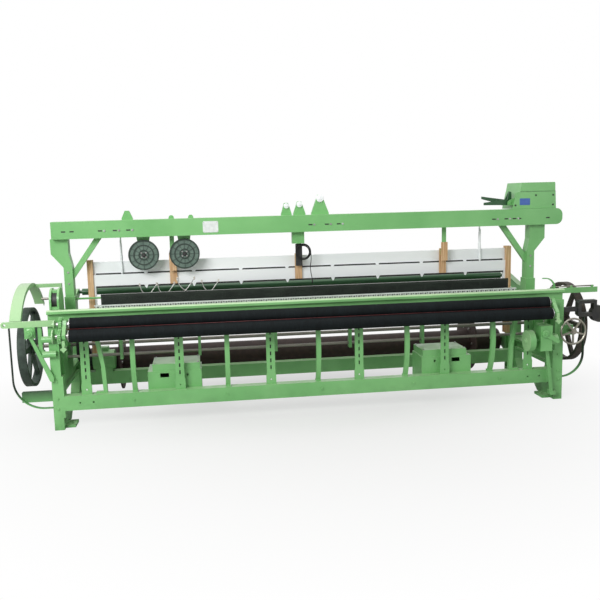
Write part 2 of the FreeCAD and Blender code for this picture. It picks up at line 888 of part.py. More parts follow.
def sheave_bracket(name, place):
    """A hanger below the portal beam with the sheave's axle."""
    near = S.portal_front + 105
    outline = [
        (place - 26, S.sheave_height - 24), (place + 26, S.sheave_height - 24),
        (place + 60, S.portal_bottom), (place - 60, S.portal_bottom),
    ]
    hanger = plate(name + "_hanger", "XZ", outline, (back(near), back(near + 12)))
    axle = rod(
        name + "_axle", "Y", (back(near - S.sheave_width - 10), back(near)), (place, S.sheave_height),
        S.sheave_axle_radius,
    )
    return fuse(name, [hanger, axle])


SLAT_BACK = S.heald_front - 5
SLAT_FRONT = SLAT_BACK - S.slat_thickness


def slat_bracket(name, place):
    """A hanger that reaches back from the portal beam to a wooden slat."""
    outline = [
        (back(S.portal_front + S.portal_depth - 14), S.portal_bottom),
        (back(S.portal_front + S.portal_depth - 2), S.portal_bottom),
        (back(S.portal_front + S.portal_depth - 2), S.guide_top + 24), (back(SLAT_FRONT), S.guide_top),
        (back(SLAT_FRONT), S.guide_top - 60),
        (back(S.portal_front + S.portal_depth - 14), S.guide_top - 60),
    ]
    return plate(name, "YZ", outline, (place - 20, place + 20))


SLAT_PLACES = (size(-1230), size(-80), size(1310))
beam_brackets = [
    bearing_peak("left_peak", size(-1608), size(96), size(80)),
    bearing_peak("middle_peak", size(-190), size(96), size(112)),
    bearing_peak("second_peak", size(-70), size(110), size(122)),
    bearing_peak("tall_peak", size(120), size(160), size(178)),
    beam_lug("first_lug", size(-1224)),
    beam_lug("second_lug", size(-1052)),
    block(
        "hanging_block", (-145, -34), (back(S.portal_front + 70), back(S.portal_front + 130)),
        (S.portal_bottom - 107, S.portal_bottom),
    ),
    sheave_bracket("first_sheave_bracket", -S.first_sheave_place),
    sheave_bracket("second_sheave_bracket", -S.second_sheave_place),
]
for number, place in enumerate(SLAT_PLACES):
    beam_brackets.append(slat_bracket(f"slat_bracket_{number}", place))
node("beam_brackets", group("beam_brackets", beam_brackets))

coil_drop = 107 + S.coil_radius + S.coil_bundle + S.seat_gap
coil_spot = (-38, S.portal_bottom - coil_drop)
coil_reach = (back(S.portal_front + 100 - S.coil_bundle), back(S.portal_front + 100 + S.coil_bundle))
coil_outside = rod("coil_outside", "Y", coil_reach, coil_spot, S.coil_radius + S.coil_bundle)
coil_inside = rod("coil_inside", "Y", coil_reach, coil_spot, S.coil_radius - S.coil_bundle)
node("cable_coil", cut("cable_coil", coil_outside, [coil_inside]))

slats = []
for number, place in enumerate(SLAT_PLACES):
    half = S.slat_width / 2
    slats.append(block(f"slat_{number}", (place - half, place + half), (back(SLAT_FRONT), back(SLAT_BACK)),
                       (S.guide_top - S.slat_length, S.guide_top)))
node("wooden_slats", group("wooden_slats", slats))


def sheave(name, place):
    """A cast disc: rim, ring and hub joined by a thin web with radial ribs and four holes."""
    centre_y = back(S.portal_front + 105 - S.sheave_width - 0.4)
    outer = S.sheave_radius
    pieces = []
    wide = S.sheave_width.value - 4
    radius = outer.value
    web = Part.makeCylinder(radius - 4, 8, Vector(0, wide / 2 - 4, 0), Vector(0, 1, 0))
    for ring_outer, ring_inner, thick in (
        (radius, radius - 12, wide), (radius * 0.68, radius * 0.6, wide - 8),
        (radius * 0.34, radius * 0.26, wide), (20, 0, wide),
    ):
        ring = Part.makeCylinder(ring_outer, thick, Vector(0, (wide - thick) / 2, 0), Vector(0, 1, 0))
        if ring_inner:
            ring = ring.cut(
                Part.makeCylinder(ring_inner, thick, Vector(0, (wide - thick) / 2, 0), Vector(0, 1, 0))
            )
        pieces.append(ring)
    for rib in range(12):
        bar = Part.makeBox(radius * 0.66, wide - 10, 4, Vector(radius * 0.3, 5, -2))
        bar.rotate(Vector(0, 0, 0), Vector(0, 1, 0), 30 * rib)
        pieces.append(bar)
    disc = web.multiFuse(pieces)
    bore = [
        Part.makeCylinder(
            S.sheave_axle_radius.value + S.running_clearance.value, wide + 2, Vector(0, -1, 0),
            Vector(0, 1, 0),
        ),
    ]
    for hole in range(4):
        angle = math.radians(45 + 90 * hole)
        spot = Vector(radius * 0.2 * math.cos(angle), -1, radius * 0.2 * math.sin(angle))
        bore.append(Part.makeCylinder(5, wide + 2, spot, Vector(0, 1, 0)))
    disc = disc.cut(Part.makeCompound(bore)).removeSplitter()
    disc.translate(Vector(size(place).value, centre_y.value, S.sheave_height.value))
    return shaped(name, disc)


node("first_sheave", sheave("first_sheave_disc", -S.first_sheave_place))
node("second_sheave", sheave("second_sheave_disc", -S.second_sheave_place))

# ---------------------------------------------------------------- heald frames

FRAME_HALF = S.heald_length / 2


def heald_frame(number, rise):
    """Two rails and two end stays, hooks under the top rail and a lifting rod each side."""
    name = f"heald_frame_{number}"
    near = S.heald_front + S.heald_pitch * (number - 1)
    far = near + S.heald_thickness
    top = S.heald_top + rise
    inner_top = top - S.heald_rail_height
    inner_bottom = inner_top - S.heald_window
    bottom = inner_bottom - S.heald_rail_height
    outline = [(-FRAME_HALF, bottom), (FRAME_HALF, bottom), (FRAME_HALF, top), (-FRAME_HALF, top)]
    side = FRAME_HALF - S.heald_end_width
    window = [(-side, inner_bottom), (side, inner_bottom), (side, inner_top), (-side, inner_top)]
    rails = plate(name + "_rails", "XZ", outline, (back(near), back(far)), [window])
    pieces = [rails]
    for hook in range(8):
        place = S.hook_pitch * (hook - 3.5) + S.hook_shift
        corners = [
            (place - 20, inner_top + 2), (place - 5, inner_top - S.hook_drop),
            (place + 5, inner_top - S.hook_drop), (place + 20, inner_top + 2),
        ]
        pieces.append(plate(f"{name}_hook_{hook}", "XZ", corners, (back(near + 3), back(far - 3))))
    rod_place = S.lifting_rod_place
    for side_name, place in (("left", -rod_place), ("right", rod_place)):
        pieces.append(
            rod(
                f"{name}_{side_name}_rod", "Z", (top - 4, S.lifting_rod_top - S.heald_lift + rise),
                (place, back(near + S.heald_thickness / 2)), S.lifting_rod_radius,
            )
        )
    return fuse(name, pieces)


node("front_heald_frame", heald_frame(1, size(0)))
node("rear_heald_frame", heald_frame(2, S.heald_lift))


def heald_guide(name):
    """A wooden comb at the frames' ends: each frame slides in a groove of its own."""
    outer = FRAME_HALF + S.guide_width - S.guide_bite
    low = FRAME_HALF - S.guide_bite
    near = S.heald_front - 16
    far = S.heald_front + S.heald_pitch * 2 + 12
    blank = block(
        name + "_blank", (low, outer), (back(near), back(far)),
        (S.guide_bottom - S.heald_lift, S.guide_top),
    )
    grooves = []
    for number in range(2):
        groove_near = S.heald_front + S.heald_pitch * number - S.seat_gap
        groove_far = groove_near + S.heald_thickness + S.seat_gap * 2
        grooves.append(
            block(
                f"{name}_groove_{number}", (low - 5, FRAME_HALF + 0.5),
                (back(groove_near), back(groove_far)),
                (S.guide_bottom - S.heald_lift - 5, S.guide_top + 5),
            )
        )
    comb = cut(name + "_comb", blank, grooves)
    return comb


def guide_arm(name):
    """An angle bracket from the side frame to the wooden comb."""
    outer = FRAME_HALF + S.guide_width - S.guide_bite
    return block(name, (outer, LEG_INNER + RECESS), (back(600), back(640)), (840, 890))


right_guide = heald_guide("right_heald_guide")
node("heald_guides", group("heald_guides", [right_guide, mirrored("left_heald_guide", right_guide)]))
right_arm = guide_arm("right_guide_arm")
node("guide_arms", group("guide_arms", [right_arm, mirrored("left_guide_arm", right_arm)]))

# ---------------------------------------------------------------- dobby

DOBBY_RIGHT = S.dobby_left + S.dobby_width
DOBBY_SPLIT = PORTAL_TOP + S.dobby_body_height
housing_outline = [
    (S.dobby_left - 26, PORTAL_TOP), (DOBBY_RIGHT + 8, PORTAL_TOP), (DOBBY_RIGHT, DOBBY_SPLIT),
    (S.dobby_left + 8, DOBBY_SPLIT),
]
DOBBY_REACH = (back(S.dobby_front), back(S.dobby_front + S.dobby_depth))
housing = plate("housing", "XZ", housing_outline, DOBBY_REACH)
cover_outline = [
    (S.dobby_left + 8, DOBBY_SPLIT), (DOBBY_RIGHT, DOBBY_SPLIT),
    (DOBBY_RIGHT - 2, DOBBY_SPLIT + S.dobby_cover_height - 8),
    (DOBBY_RIGHT - 10, DOBBY_SPLIT + S.dobby_cover_height),
    (S.dobby_left + 24, DOBBY_SPLIT + S.dobby_cover_height),
]
node(
    "dobby_cover",
    plate(
        "dobby_cover", "XZ", cover_outline,
        (back(S.dobby_front + 4), back(S.dobby_front + S.dobby_depth - 4)),
    ),
)

LEVER_PIVOT_X = S.dobby_left - 60
LEVER_PIVOT_Z = PORTAL_TOP + 60


def dobby_lever(number, rise):
    """A lifting lever on a pin at the dobby's left side; a raised frame has its arm up."""
    near = S.dobby_front + 90 + (number - 1) * 60
    arm_end = LEVER_PIVOT_X - S.dobby_lever_length
    tip_lift = rise * S.dobby_lever_length * 0.002
    head_shift = rise * 0.2
    outline = [
        (LEVER_PIVOT_X - 24, LEVER_PIVOT_Z - 22), (LEVER_PIVOT_X + 22, LEVER_PIVOT_Z - 24),
        (LEVER_PIVOT_X + 18 + head_shift, LEVER_PIVOT_Z + 100),
        (LEVER_PIVOT_X - 4 + head_shift, LEVER_PIVOT_Z + 106), (LEVER_PIVOT_X - 20, LEVER_PIVOT_Z + 30),
        (arm_end, LEVER_PIVOT_Z + 6 + tip_lift), (arm_end, LEVER_PIVOT_Z - 18 + tip_lift),
    ]
    hole = (LEVER_PIVOT_X, LEVER_PIVOT_Z, S.lever_pin_radius + S.running_clearance)
    return plate(
        f"dobby_lever_{number}", "XZ", outline, (back(near), back(near + S.dobby_lever_plate)), (),
        [hole],
    )


node("front_dobby_lever", dobby_lever(1, size(0)))
node("rear_dobby_lever", dobby_lever(2, S.heald_lift))


def lever_cheek(number, near):
    """A cheek that grows out of the dobby's left wall to hold the levers' pin."""
    outline = [
        (LEVER_PIVOT_X - 26, LEVER_PIVOT_Z - 26), (S.dobby_left + 20, PORTAL_TOP + 40),
        (S.dobby_left + 20, PORTAL_TOP + 120), (LEVER_PIVOT_X - 6, LEVER_PIVOT_Z + 26),
        (LEVER_PIVOT_X - 26, LEVER_PIVOT_Z + 10),
    ]
    return plate(f"lever_cheek_{number}", "XZ", outline, (back(near), back(near + 12)))


pin_reach = (back(S.dobby_front + 55), back(S.dobby_front + 217))
housing_pieces = [
    housing, lever_cheek(1, S.dobby_front + 60), lever_cheek(2, S.dobby_front + 200),
    rod("lever_pin", "Y", pin_reach, (LEVER_PIVOT_X, LEVER_PIVOT_Z), S.lever_pin_radius),
]
node("dobby_housing", fuse("dobby_housing", housing_pieces))

# ---------------------------------------------------------------- main shaft, wheels, drive

WHEEL_OUTER = S.wheel_inner + S.wheel_rim_width
shaft_reach = WHEEL_OUTER + 20
node(
    "main_shaft",
    rod(
        "main_shaft", "X", (-shaft_reach, shaft_reach), (SHAFT_Y, S.main_shaft_height),
        S.main_shaft_radius,
    ),
)


def spoked_wheel(radius, low):
    """A cast wheel along X: rim, tapered spokes and a hub, bored for the shaft."""
    wide = S.wheel_rim_width.value
    rim = Part.makeCylinder(radius, wide, Vector(0, 0, 0), Vector(1, 0, 0))
    rim = rim.cut(
        Part.makeCylinder(radius - S.wheel_rim_wall.value, wide, Vector(0, 0, 0), Vector(1, 0, 0))
    )
    hub = Part.makeCylinder(S.wheel_hub_radius.value, wide, Vector(0, 0, 0), Vector(1, 0, 0))
    pieces = [hub]
    count = int(S.wheel_spokes.value)
    for spoke in range(count):
        root = S.wheel_hub_radius.value - 8
        tip = radius - S.wheel_rim_wall.value + 4
        outline = [Vector(0, root, -30), Vector(0, tip, -19), Vector(0, tip, 19), Vector(0, root, 30)]
        arm = strip_face(outline, [None] * 4).extrude(Vector(28, 0, 0))
        arm.translate(Vector(wide / 2 - 14, 0, 0))
        arm.rotate(Vector(0, 0, 0), Vector(1, 0, 0), 360 / count * spoke)
        pieces.append(arm)
    wheel = rim.multiFuse(pieces)
    wheel = wheel.cut(Part.makeCylinder(S.main_shaft_radius.value, wide, Vector(0, 0, 0), Vector(1, 0, 0)))
    wheel = wheel.removeSplitter()
    wheel.translate(Vector(low, SHAFT_Y.value, S.main_shaft_height.value))
    return wheel


node("left_drive_wheel", shaped("left_wheel", spoked_wheel(S.left_wheel_radius.value, -WHEEL_OUTER.value)))
node("right_flywheel", shaped("right_wheel", spoked_wheel(S.right_wheel_radius.value, S.wheel_inner.value)))

PULLEY_OUTER = S.pulley_inner + S.pulley_width
BELT_INSET = (S.pulley_width - S.belt_width) / 2
MOTOR_Y = back(S.motor_back)


def flanged_pulley(name, radius, centre):
    """A belt pulley: drum between two low flanges."""
    body = rod(name + "_drum", "X", (-PULLEY_OUTER + 6, -S.pulley_inner - 6), centre, radius)
    flanges = [
        rod(name + "_outer_flange", "X", (-PULLEY_OUTER, -PULLEY_OUTER + 6), centre, radius + 6),
        rod(name + "_inner_flange", "X", (-S.pulley_inner - 6, -S.pulley_inner), centre, radius + 6),
    ]
    return fuse(name + "_solid", [body, *flanges])


SHAFT_SPOT = (SHAFT_Y, S.main_shaft_height)
MOTOR_SPOT = (MOTOR_Y, S.motor_height)
pulley_blank = flanged_pulley("driven_pulley", S.driven_pulley_radius, SHAFT_SPOT)
pulley_bore = rod(
    "driven_pulley_bore", "X", (-PULLEY_OUTER - 5, -S.pulley_inner + 5), SHAFT_SPOT, S.main_shaft_radius,
)
node("driven_pulley", cut("driven_pulley", pulley_blank, [pulley_bore]))
MOTOR_FACE = -S.pulley_inner + S.motor_gap
motor_shaft = rod(
    "motor_shaft", "X", (-PULLEY_OUTER - 4, MOTOR_FACE + S.motor_shaft_depth), MOTOR_SPOT,
    S.motor_shaft_radius,
)
small_pulley = flanged_pulley("motor_pulley", S.motor_pulley_radius, MOTOR_SPOT)
node("motor_pulley", fuse("motor_pulley", [small_pulley, motor_shaft]))


def drive_belt():
    """A belt drawn as the two wraps and the two straight runs between them."""
    gap = S.seat_gap.value
    big = S.driven_pulley_radius.value + gap
    small = S.motor_pulley_radius.value + gap
    thick = S.belt_thickness.value
    start = Vector(0, SHAFT_Y.value, S.main_shaft_height.value)
    end = Vector(0, MOTOR_Y.value, S.motor_height.value)
    along = end - start
    distance = along.Length
    heading = math.atan2(along.z, along.y)

    def loop(extra):
        first, second = big + extra, small + extra
        lean = math.acos((first - second) / distance)

        def on(centre, radius, angle):
            return centre + Vector(0, radius * math.cos(angle), radius * math.sin(angle))

        upper, lower = heading + lean, heading - lean
        edges = [
            Part.Arc(
                on(start, first, upper), on(start, first, heading + math.pi), on(start, first, lower),
            ).toShape(),
            Part.LineSegment(on(start, first, lower), on(end, second, lower)).toShape(),
            Part.Arc(
                on(end, second, lower), on(end, second, heading), on(end, second, upper),
            ).toShape(),
            Part.LineSegment(on(end, second, upper), on(start, first, upper)).toShape(),
        ]
        return Part.Face(Part.Wire(edges))

    wide = S.belt_width.value
    ring = loop(thick).extrude(Vector(wide, 0, 0)).cut(loop(0).extrude(Vector(wide, 0, 0)))
    ring.translate(Vector(-(PULLEY_OUTER.value - BELT_INSET.value), 0, 0))
    return shaped("drive_belt", ring)


node("drive_belt", drive_belt())


def drive_motor():
    """A foot-mounted motor on the rear girt, bored for the shaft of the small pulley."""
    right = MOTOR_FACE + S.motor_length
    shell = rod("motor_shell", "X", (MOTOR_FACE, right), MOTOR_SPOT, S.motor_radius)
    foot = block(
        "motor_foot", (MOTOR_FACE + 20, right - 20), (MOTOR_Y - 60, MOTOR_Y + 60),
        (GIRT_TOP, S.motor_height - 40),
    )
    box = block(
        "motor_box", (MOTOR_FACE + 60, right - 55), (MOTOR_Y - 40, MOTOR_Y + 40),
        (S.motor_height + 60, S.motor_height + 124),
    )
    bore = rod(
        "motor_bore", "X", (MOTOR_FACE - 5, MOTOR_FACE + S.motor_shaft_depth + 1), MOTOR_SPOT,
        S.motor_shaft_radius + S.running_clearance,
    )
    return cut("drive_motor", fuse("motor_case", [shell, foot, box]), [bore])


node("drive_motor", drive_motor())


def wheel_guard():
    """A rolled hood over the top of the left wheel, with a stiffening flange on its inner edge."""
    outer = S.guard_radius.value
    inner = outer - S.guard_wall.value
    low = -(S.wheel_inner.value - 10 + S.guard_width.value)
    centre = Vector(low, SHAFT_Y.value, S.main_shaft_height.value)

    def sector(radius_out, radius_in, thick, start):
        def on(radius, angle):
            turn = math.radians(angle)
            return Vector(start, centre.y + radius * math.cos(turn), centre.z + radius * math.sin(turn))

        first, last = 35, 147
        half = (first + last) / 2
        points = [on(radius_out, first), on(radius_out, last), on(radius_in, last), on(radius_in, first)]
        return strip_face(
            points, [on(radius_out, half), None, on(radius_in, half), None],
        ).extrude(Vector(thick, 0, 0))

    band = sector(outer, inner, S.guard_width.value, low)
    flange = sector(outer, outer - 34, 5, low + S.guard_width.value - 5)
    return band.fuse(flange).removeSplitter()


GUARD_INNER = S.wheel_inner - 10
STAY_BACK = (back(600), back(640))
STAY_TOP = S.main_shaft_height + S.guard_radius * 0.96
guard_band = shaped("guard_band", wheel_guard())
stay_post = block("guard_stay_post", (-LEG_OUTER, -LEG_OUTER + 20), STAY_BACK, (S.frame_height, STAY_TOP))
stay_arm = block("guard_stay_arm", (-GUARD_INNER, -LEG_OUTER), STAY_BACK, (STAY_TOP - 32, STAY_TOP))
node("left_wheel_guard", fuse("left_wheel_guard", [guard_band, stay_post, stay_arm]))

# ---------------------------------------------------------------- sley

node(
    "rocking_shaft",
    rod(
        "rocking_shaft", "X", (-LEG_OUTER - 10, LEG_OUTER + 10), (SLEY_Y, S.sley_shaft_height),
        S.sley_shaft_radius,
    ),
)


def sley_sword(name, place):
    """A cast arm clamped on the rocking shaft that carries the race board."""
    outline = [
        (SLEY_Y - 34, S.sley_shaft_height - 40), (SLEY_Y + 34, S.sley_shaft_height - 40),
        (SLEY_Y + 34, S.sley_shaft_height + 40), (back(S.race_front + 85), S.race_bottom - 60),
        (back(S.race_front + S.race_depth), S.race_bottom), (back(S.race_front), S.race_bottom),
        (back(S.race_front + 20), S.race_bottom - 60), (SLEY_Y - 34, S.sley_shaft_height + 40),
    ]
    half = S.sword_thickness / 2
    hole = (SLEY_Y, S.sley_shaft_height, S.sley_shaft_radius)
    return plate(name, "YZ", outline, (place - half, place + half), (), [hole])


swords = []
for number in range(6):
    swords.append(sley_sword(f"sword_{number}", S.sword_pitch * (number - 2.5)))
node("sley_swords", group("sley_swords", swords))
RACE_TOP = S.race_bottom + S.race_height
TRACK_TOP = RACE_TOP + S.track_base
race_reach = (-S.race_half_length, S.race_half_length)
node(
    "race_board",
    block(
        "race_board", race_reach, (back(S.race_front), back(S.race_front + S.race_depth)),
        (S.race_bottom, RACE_TOP),
    ),
)


def rapier_track():
    """The steel track on the race board: a strip, a row of guide hooks and a rail on top."""
    half = S.race_half_length.value
    near = back(S.race_front + 4).value
    strip = Part.makeBox(2 * half, S.track_depth.value, S.track_base.value,
                         Vector(-half, near, RACE_TOP.value))
    rail_depth = S.track_rail_depth.value
    top = TRACK_TOP.value
    tall = S.tooth_height.value
    rail = Part.makeBox(2 * half, rail_depth, S.track_rail.value, Vector(-half, near + 4, top + tall))
    pieces = [rail]
    count = int(2 * half // S.tooth_pitch.value)
    wide = S.tooth_width.value
    for number in range(count):
        x = (number - (count - 1) / 2) * S.tooth_pitch.value - wide / 2
        pieces.append(Part.makeBox(wide, rail_depth - 4, tall, Vector(x, near + 6, top)))
    return shaped("rapier_track", strip.multiFuse(pieces).removeSplitter())


node("rapier_track", rapier_track())


def reed():
    """The reed in its baulks: closely set dents are one thin wall between stiffening ribs."""
    half = S.reed_half_length.value
    low = RACE_TOP.value
    high = low + S.reed_height.value
    near = back(S.race_front + 76).value
    thick = S.reed_thickness.value
    depth = S.reed_pocket.value
    wall = Part.makeBox(2 * half, thick, high - low, Vector(-half, near, low))
    count = int(S.reed_bays.value)
    rib = S.reed_rib.value
    pitch = (2 * half - rib) / count
    tall = high - low - S.reed_cap.value - S.reed_foot.value
    pockets = []
    for number in range(count):
        x = -half + rib + pitch * number
        for start in (near - 1, near + thick - depth):
            corner = Vector(x, start, low + S.reed_foot.value)
            pockets.append(Part.makeBox(pitch - rib, depth + 1, tall, corner))
    return shaped("reed", wall.cut(Part.makeCompound(pockets)))


node("reed", reed())

# ---------------------------------------------------------------- warp side

WARP_Y = back(S.warp_beam_back)
REST_Y = back(S.back_rest_back)
ARM_INNER = LEG_INNER + 10
ARM_OUTER = LEG_OUTER - 10


def warp_beam():
    """The empty warp beam: barrel, two flanges and turned journals."""
    centre = (WARP_Y, S.warp_beam_height)
    barrel = rod("warp_barrel", "X", (-ARM_INNER + 40, ARM_INNER - 40), centre, S.warp_beam_radius)
    journal = rod("warp_journal", "X", (-ARM_OUTER - 20, ARM_OUTER + 20), centre, S.warp_journal_radius)
    flanges = []
    for side, low, high in (("left", -S.warp_flange_place - S.warp_flange_wall, -S.warp_flange_place),
                            ("right", S.warp_flange_place, S.warp_flange_place + S.warp_flange_wall)):
        flanges.append(rod(f"warp_{side}_flange", "X", (low, high), centre, S.warp_flange_radius))
    return fuse("warp_beam", [barrel, journal, *flanges])


node("warp_beam", warp_beam())


def beam_bearing(name):
    """A bracket behind the side frame that carries the warp beam's journal."""
    outline = [
        (back(S.frame_depth), S.warp_beam_height - 110), (WARP_Y, S.warp_beam_height - 56),
        (WARP_Y + 50, S.warp_beam_height - 30), (WARP_Y + 50, S.warp_beam_height + 30),
        (WARP_Y + 20, S.warp_beam_height + 52), (back(S.frame_depth), S.warp_beam_height + 80),
    ]
    hole = (WARP_Y, S.warp_beam_height, S.warp_journal_radius + S.running_clearance)
    return plate(name, "YZ", outline, (ARM_INNER, ARM_OUTER), (), [hole])


right_bearing = beam_bearing("right_beam_bearing")
node("beam_bearings", group("beam_bearings", [right_bearing, mirrored("left_beam_bearing", right_bearing)]))
rest_centre = (REST_Y, S.back_rest_height)
rest_tube = rod("rest_tube", "X", (-ARM_INNER + 30, ARM_INNER - 30), rest_centre, S.back_rest_radius)
rest_shaft = rod(
    "rest_shaft", "X", (-ARM_OUTER - 12, ARM_OUTER + 12), rest_centre, S.back_rest_journal_radius,
)
node("back_rest_roller", fuse("back_rest_roller", [rest_tube, rest_shaft]))


def rest_bracket(name):
    """An arm on top of the side frame that reaches back to the back rest."""
    outline = [
        (back(760), S.frame_height), (back(S.frame_depth - 120), S.frame_height),
        (REST_Y + 30, S.back_rest_height - 34), (REST_Y + 34, S.back_rest_height + 30),
        (REST_Y - 30, S.back_rest_height + 34), (back(820), S.frame_height + 40),
        (back(760), S.frame_height + 40),
    ]
    hole = (REST_Y, S.back_rest_height, S.back_rest_journal_radius + S.running_clearance)
    return plate(name, "YZ", outline, (ARM_INNER, ARM_OUTER), (), [hole])


right_rest = rest_bracket("right_rest_bracket")
node(
    "back_rest_brackets",
    group("back_rest_brackets", [right_rest, mirrored("left_rest_bracket", right_rest)]),
)

# ---------------------------------------------------------------- boxes, rails and end gear

def gear_box(name, low):
    """A sheet box bolted behind the front girt, with a cable window and a hole in its face."""
    high = low + S.box_width
    near = S.girt_depth
    far = near + S.box_depth
    outline = [(low, S.box_bottom), (high, S.box_bottom), (high, S.box_top), (low, S.box_top)]
    shell = plate(name + "_shell", "XZ", outline, (back(near), back(far)))
    wall = S.box_wall
    hollow = block(name + "_hollow", (low + wall, high - wall), (back(near + wall), back(far - wall)),
                   (S.box_bottom + wall, S.box_top + 5))
    window = block(
        name + "_window", (high - 180, high - 105), (back(near - 5), back(near + wall + 5)),
        (S.box_top - 50, S.box_top - 14),
    )
    hole = rod(
        name + "_hole", "Y", (back(near - 5), back(near + wall + 5)), (low + 120, S.box_top - 36), 10,
    )
    return cut(name, shell, [hollow, window, hole])


def box_lid(name, low):
    """The box's stepped lid."""
    high = low + S.box_width
    near = S.girt_depth
    far = near + S.box_depth
    base = block(name + "_base", (low, high), (back(near), back(far)), (S.box_top, S.box_top + 4))
    raised = block(
        name + "_raised", (low + S.lid_inset / 4, high - S.lid_inset), (back(near + 6), back(far - 6)),
        (S.box_top, S.box_top + S.lid_height),
    )
    return fuse(name, [base, raised])


right_box = fuse(
    "right_box_closed",
    [gear_box("right_box", S.right_box_inner), box_lid("right_lid", S.right_box_inner)],
)
left_box = fuse(
    "left_box_blank", [gear_box("left_box", S.left_box_inner), box_lid("left_lid", S.left_box_inner)],
)
node("gear_boxes", group("gear_boxes", [right_box, mirrored("left_box_closed", left_box)]))


def end_rail(side, place, bending, top, distance, leg):
    """A flat bar bent to a quarter circle that fences the wheel off, down to the leg."""
    outer = place.value
    thick = S.rail_thickness.value
    bend = bending.value
    foot = S.rail_foot.value
    y = back(distance).value
    centre_x = outer - bend
    centre_z = foot + bend

    def on(radius):
        return Vector(
            side * (centre_x + radius * math.cos(math.radians(45))), y,
            centre_z - radius * math.sin(math.radians(45)),
        )

    def point(x, z):
        return Vector(side * x, y, z)

    points = [
        point(outer, top), point(outer, centre_z), point(centre_x, foot), point(leg, foot),
        point(leg, foot + thick), point(centre_x, foot + thick), point(outer - thick, centre_z),
        point(outer - thick, top),
    ]
    bulges = [None, on(bend), None, None, None, on(bend - thick), None, None]
    return strip_face(points, bulges).extrude(Vector(0, S.rail_width.value, 0))


LEFT_BAR_BOTTOM = S.frame_height - S.left_bar_drop
LEFT_BAR_TOP = LEFT_BAR_BOTTOM + 50
LEG_WEB = LEG_OUTER - RECESS
TAPE_TOP = S.frame_height - 20
TAPE_BOTTOM = TAPE_TOP - 150
left_rail = shaped(
    "left_rail",
    end_rail(-1, S.rail_place, S.left_rail_bend, LEFT_BAR_TOP.value - 4, -10, LEG_OUTER.value),
)
right_rail = shaped(
    "right_rail",
    end_rail(1, S.right_rail_place, S.right_rail_bend, TAPE_BOTTOM.value, 30, LEG_WEB.value),
)
outrigger = block("outrigger", (-S.rail_place + 60, -LEG_OUTER), (back(20), back(68)), (250, 335))
node("end_rails", group("end_rails", [left_rail, right_rail, outrigger]))

bar_outline = [
    (-S.rail_place - 50, LEFT_BAR_BOTTOM + 12), (-S.rail_place - 36, LEFT_BAR_BOTTOM),
    (-LEG_INNER - 10, LEFT_BAR_BOTTOM), (-LEG_INNER - 10, LEFT_BAR_TOP),
    (-S.rail_place - 36, LEFT_BAR_TOP), (-S.rail_place - 50, LEFT_BAR_TOP - 12),
]
left_bar = plate(
    "left_bar", "XZ", bar_outline, (back(-34), back(-10)), (),
    [(-S.rail_place - 22, LEFT_BAR_BOTTOM + 25, 11)],
)
left_spacer = block(
    "left_bar_spacer", (-LEG_OUTER, -LEG_INNER - 10), (back(-10), back(0)),
    (LEFT_BAR_BOTTOM, S.frame_height),
)
node("left_guide_bar", fuse("left_guide_bar", [left_bar, left_spacer]))

right_bar = block(
    "right_bar", (LEG_INNER + 10, S.rail_place + 110), (back(180), back(220)),
    (S.frame_height + 30, S.frame_height + 44),
)
right_bar_lip = block(
    "right_bar_lip", (LEG_INNER + 10, S.rail_place + 110), (back(180), back(188)),
    (S.frame_height + 44, S.frame_height + 80),
)
right_bar_foot = block(
    "right_bar_foot", (LEG_INNER + 10, LEG_OUTER), (back(170), back(230)),
    (S.frame_height, S.frame_height + 30),
)


def bar_horn():
    """A curved strap that rises from the guide bar's lip and hooks inwards."""
    y = back(180).value
    lip = S.frame_height.value + 80

    def point(x, rise):
        return Vector(x, y, lip + rise)

    points = [
        point(2256, -5), point(2165, 100), point(2128, 101), point(2128, 91), point(2163, 90),
        point(2236, -5),
    ]
    bulges = [point(2230, 70), None, None, None, point(2218, 62), None]
    return shaped("bar_horn", strip_face(points, bulges).extrude(Vector(0, 8, 0)))


node(
    "right_guide_bar",
    fuse("right_guide_bar", [right_bar, right_bar_lip, right_bar_foot, bar_horn()]),
)


def gear_cover():
    """Two arched plates joined by a low body, on top of the left side frame."""
    y = back(235).value
    low = S.frame_height.value
    radius = S.cover_radius.value
    spring = low + S.cover_spring.value
    points = [
        Vector(0, y - radius, low), Vector(0, y - radius, spring), Vector(0, y + radius, spring),
        Vector(0, y + radius, low),
    ]
    arch = strip_face(points, [None, Vector(0, y, spring + radius), None, None])
    thick = S.cover_plate.value
    width = S.leg_width.value
    outer = arch.extrude(Vector(thick, 0, 0))
    inner = outer.copy()
    inner.translate(Vector(width - thick, 0, 0))
    body = Part.makeBox(width, 2 * radius - 20, S.cover_body.value, Vector(0, y - radius + 10, low))
    cover = body.multiFuse([outer, inner]).removeSplitter()
    cover.translate(Vector(-LEG_OUTER.value, 0, 0))
    return shaped("left_gear_cover", cover)


node("left_gear_cover", gear_cover())

housings = []
for number, drop in enumerate((135, 260)):
    height = S.frame_height - drop
    middle = (back(-S.housing_radius), height)
    barrel = rod(
        f"housing_barrel_{number}", "X", (-LEG_OUTER - 46, -LEG_INNER - 18), middle, S.housing_radius,
    )
    seat = block(
        f"housing_seat_{number}", (-LEG_OUTER + 6, -LEG_INNER - 22), (back(-S.housing_radius), back(0)),
        (height - 24, height + 24),
    )
    bore = rod(
        f"housing_bore_{number}", "X", (-LEG_OUTER - 50, -LEG_INNER - 14), middle, S.housing_bore,
    )
    housings.append(cut(f"housing_{number}", fuse(f"housing_solid_{number}", [barrel, seat]), [bore]))

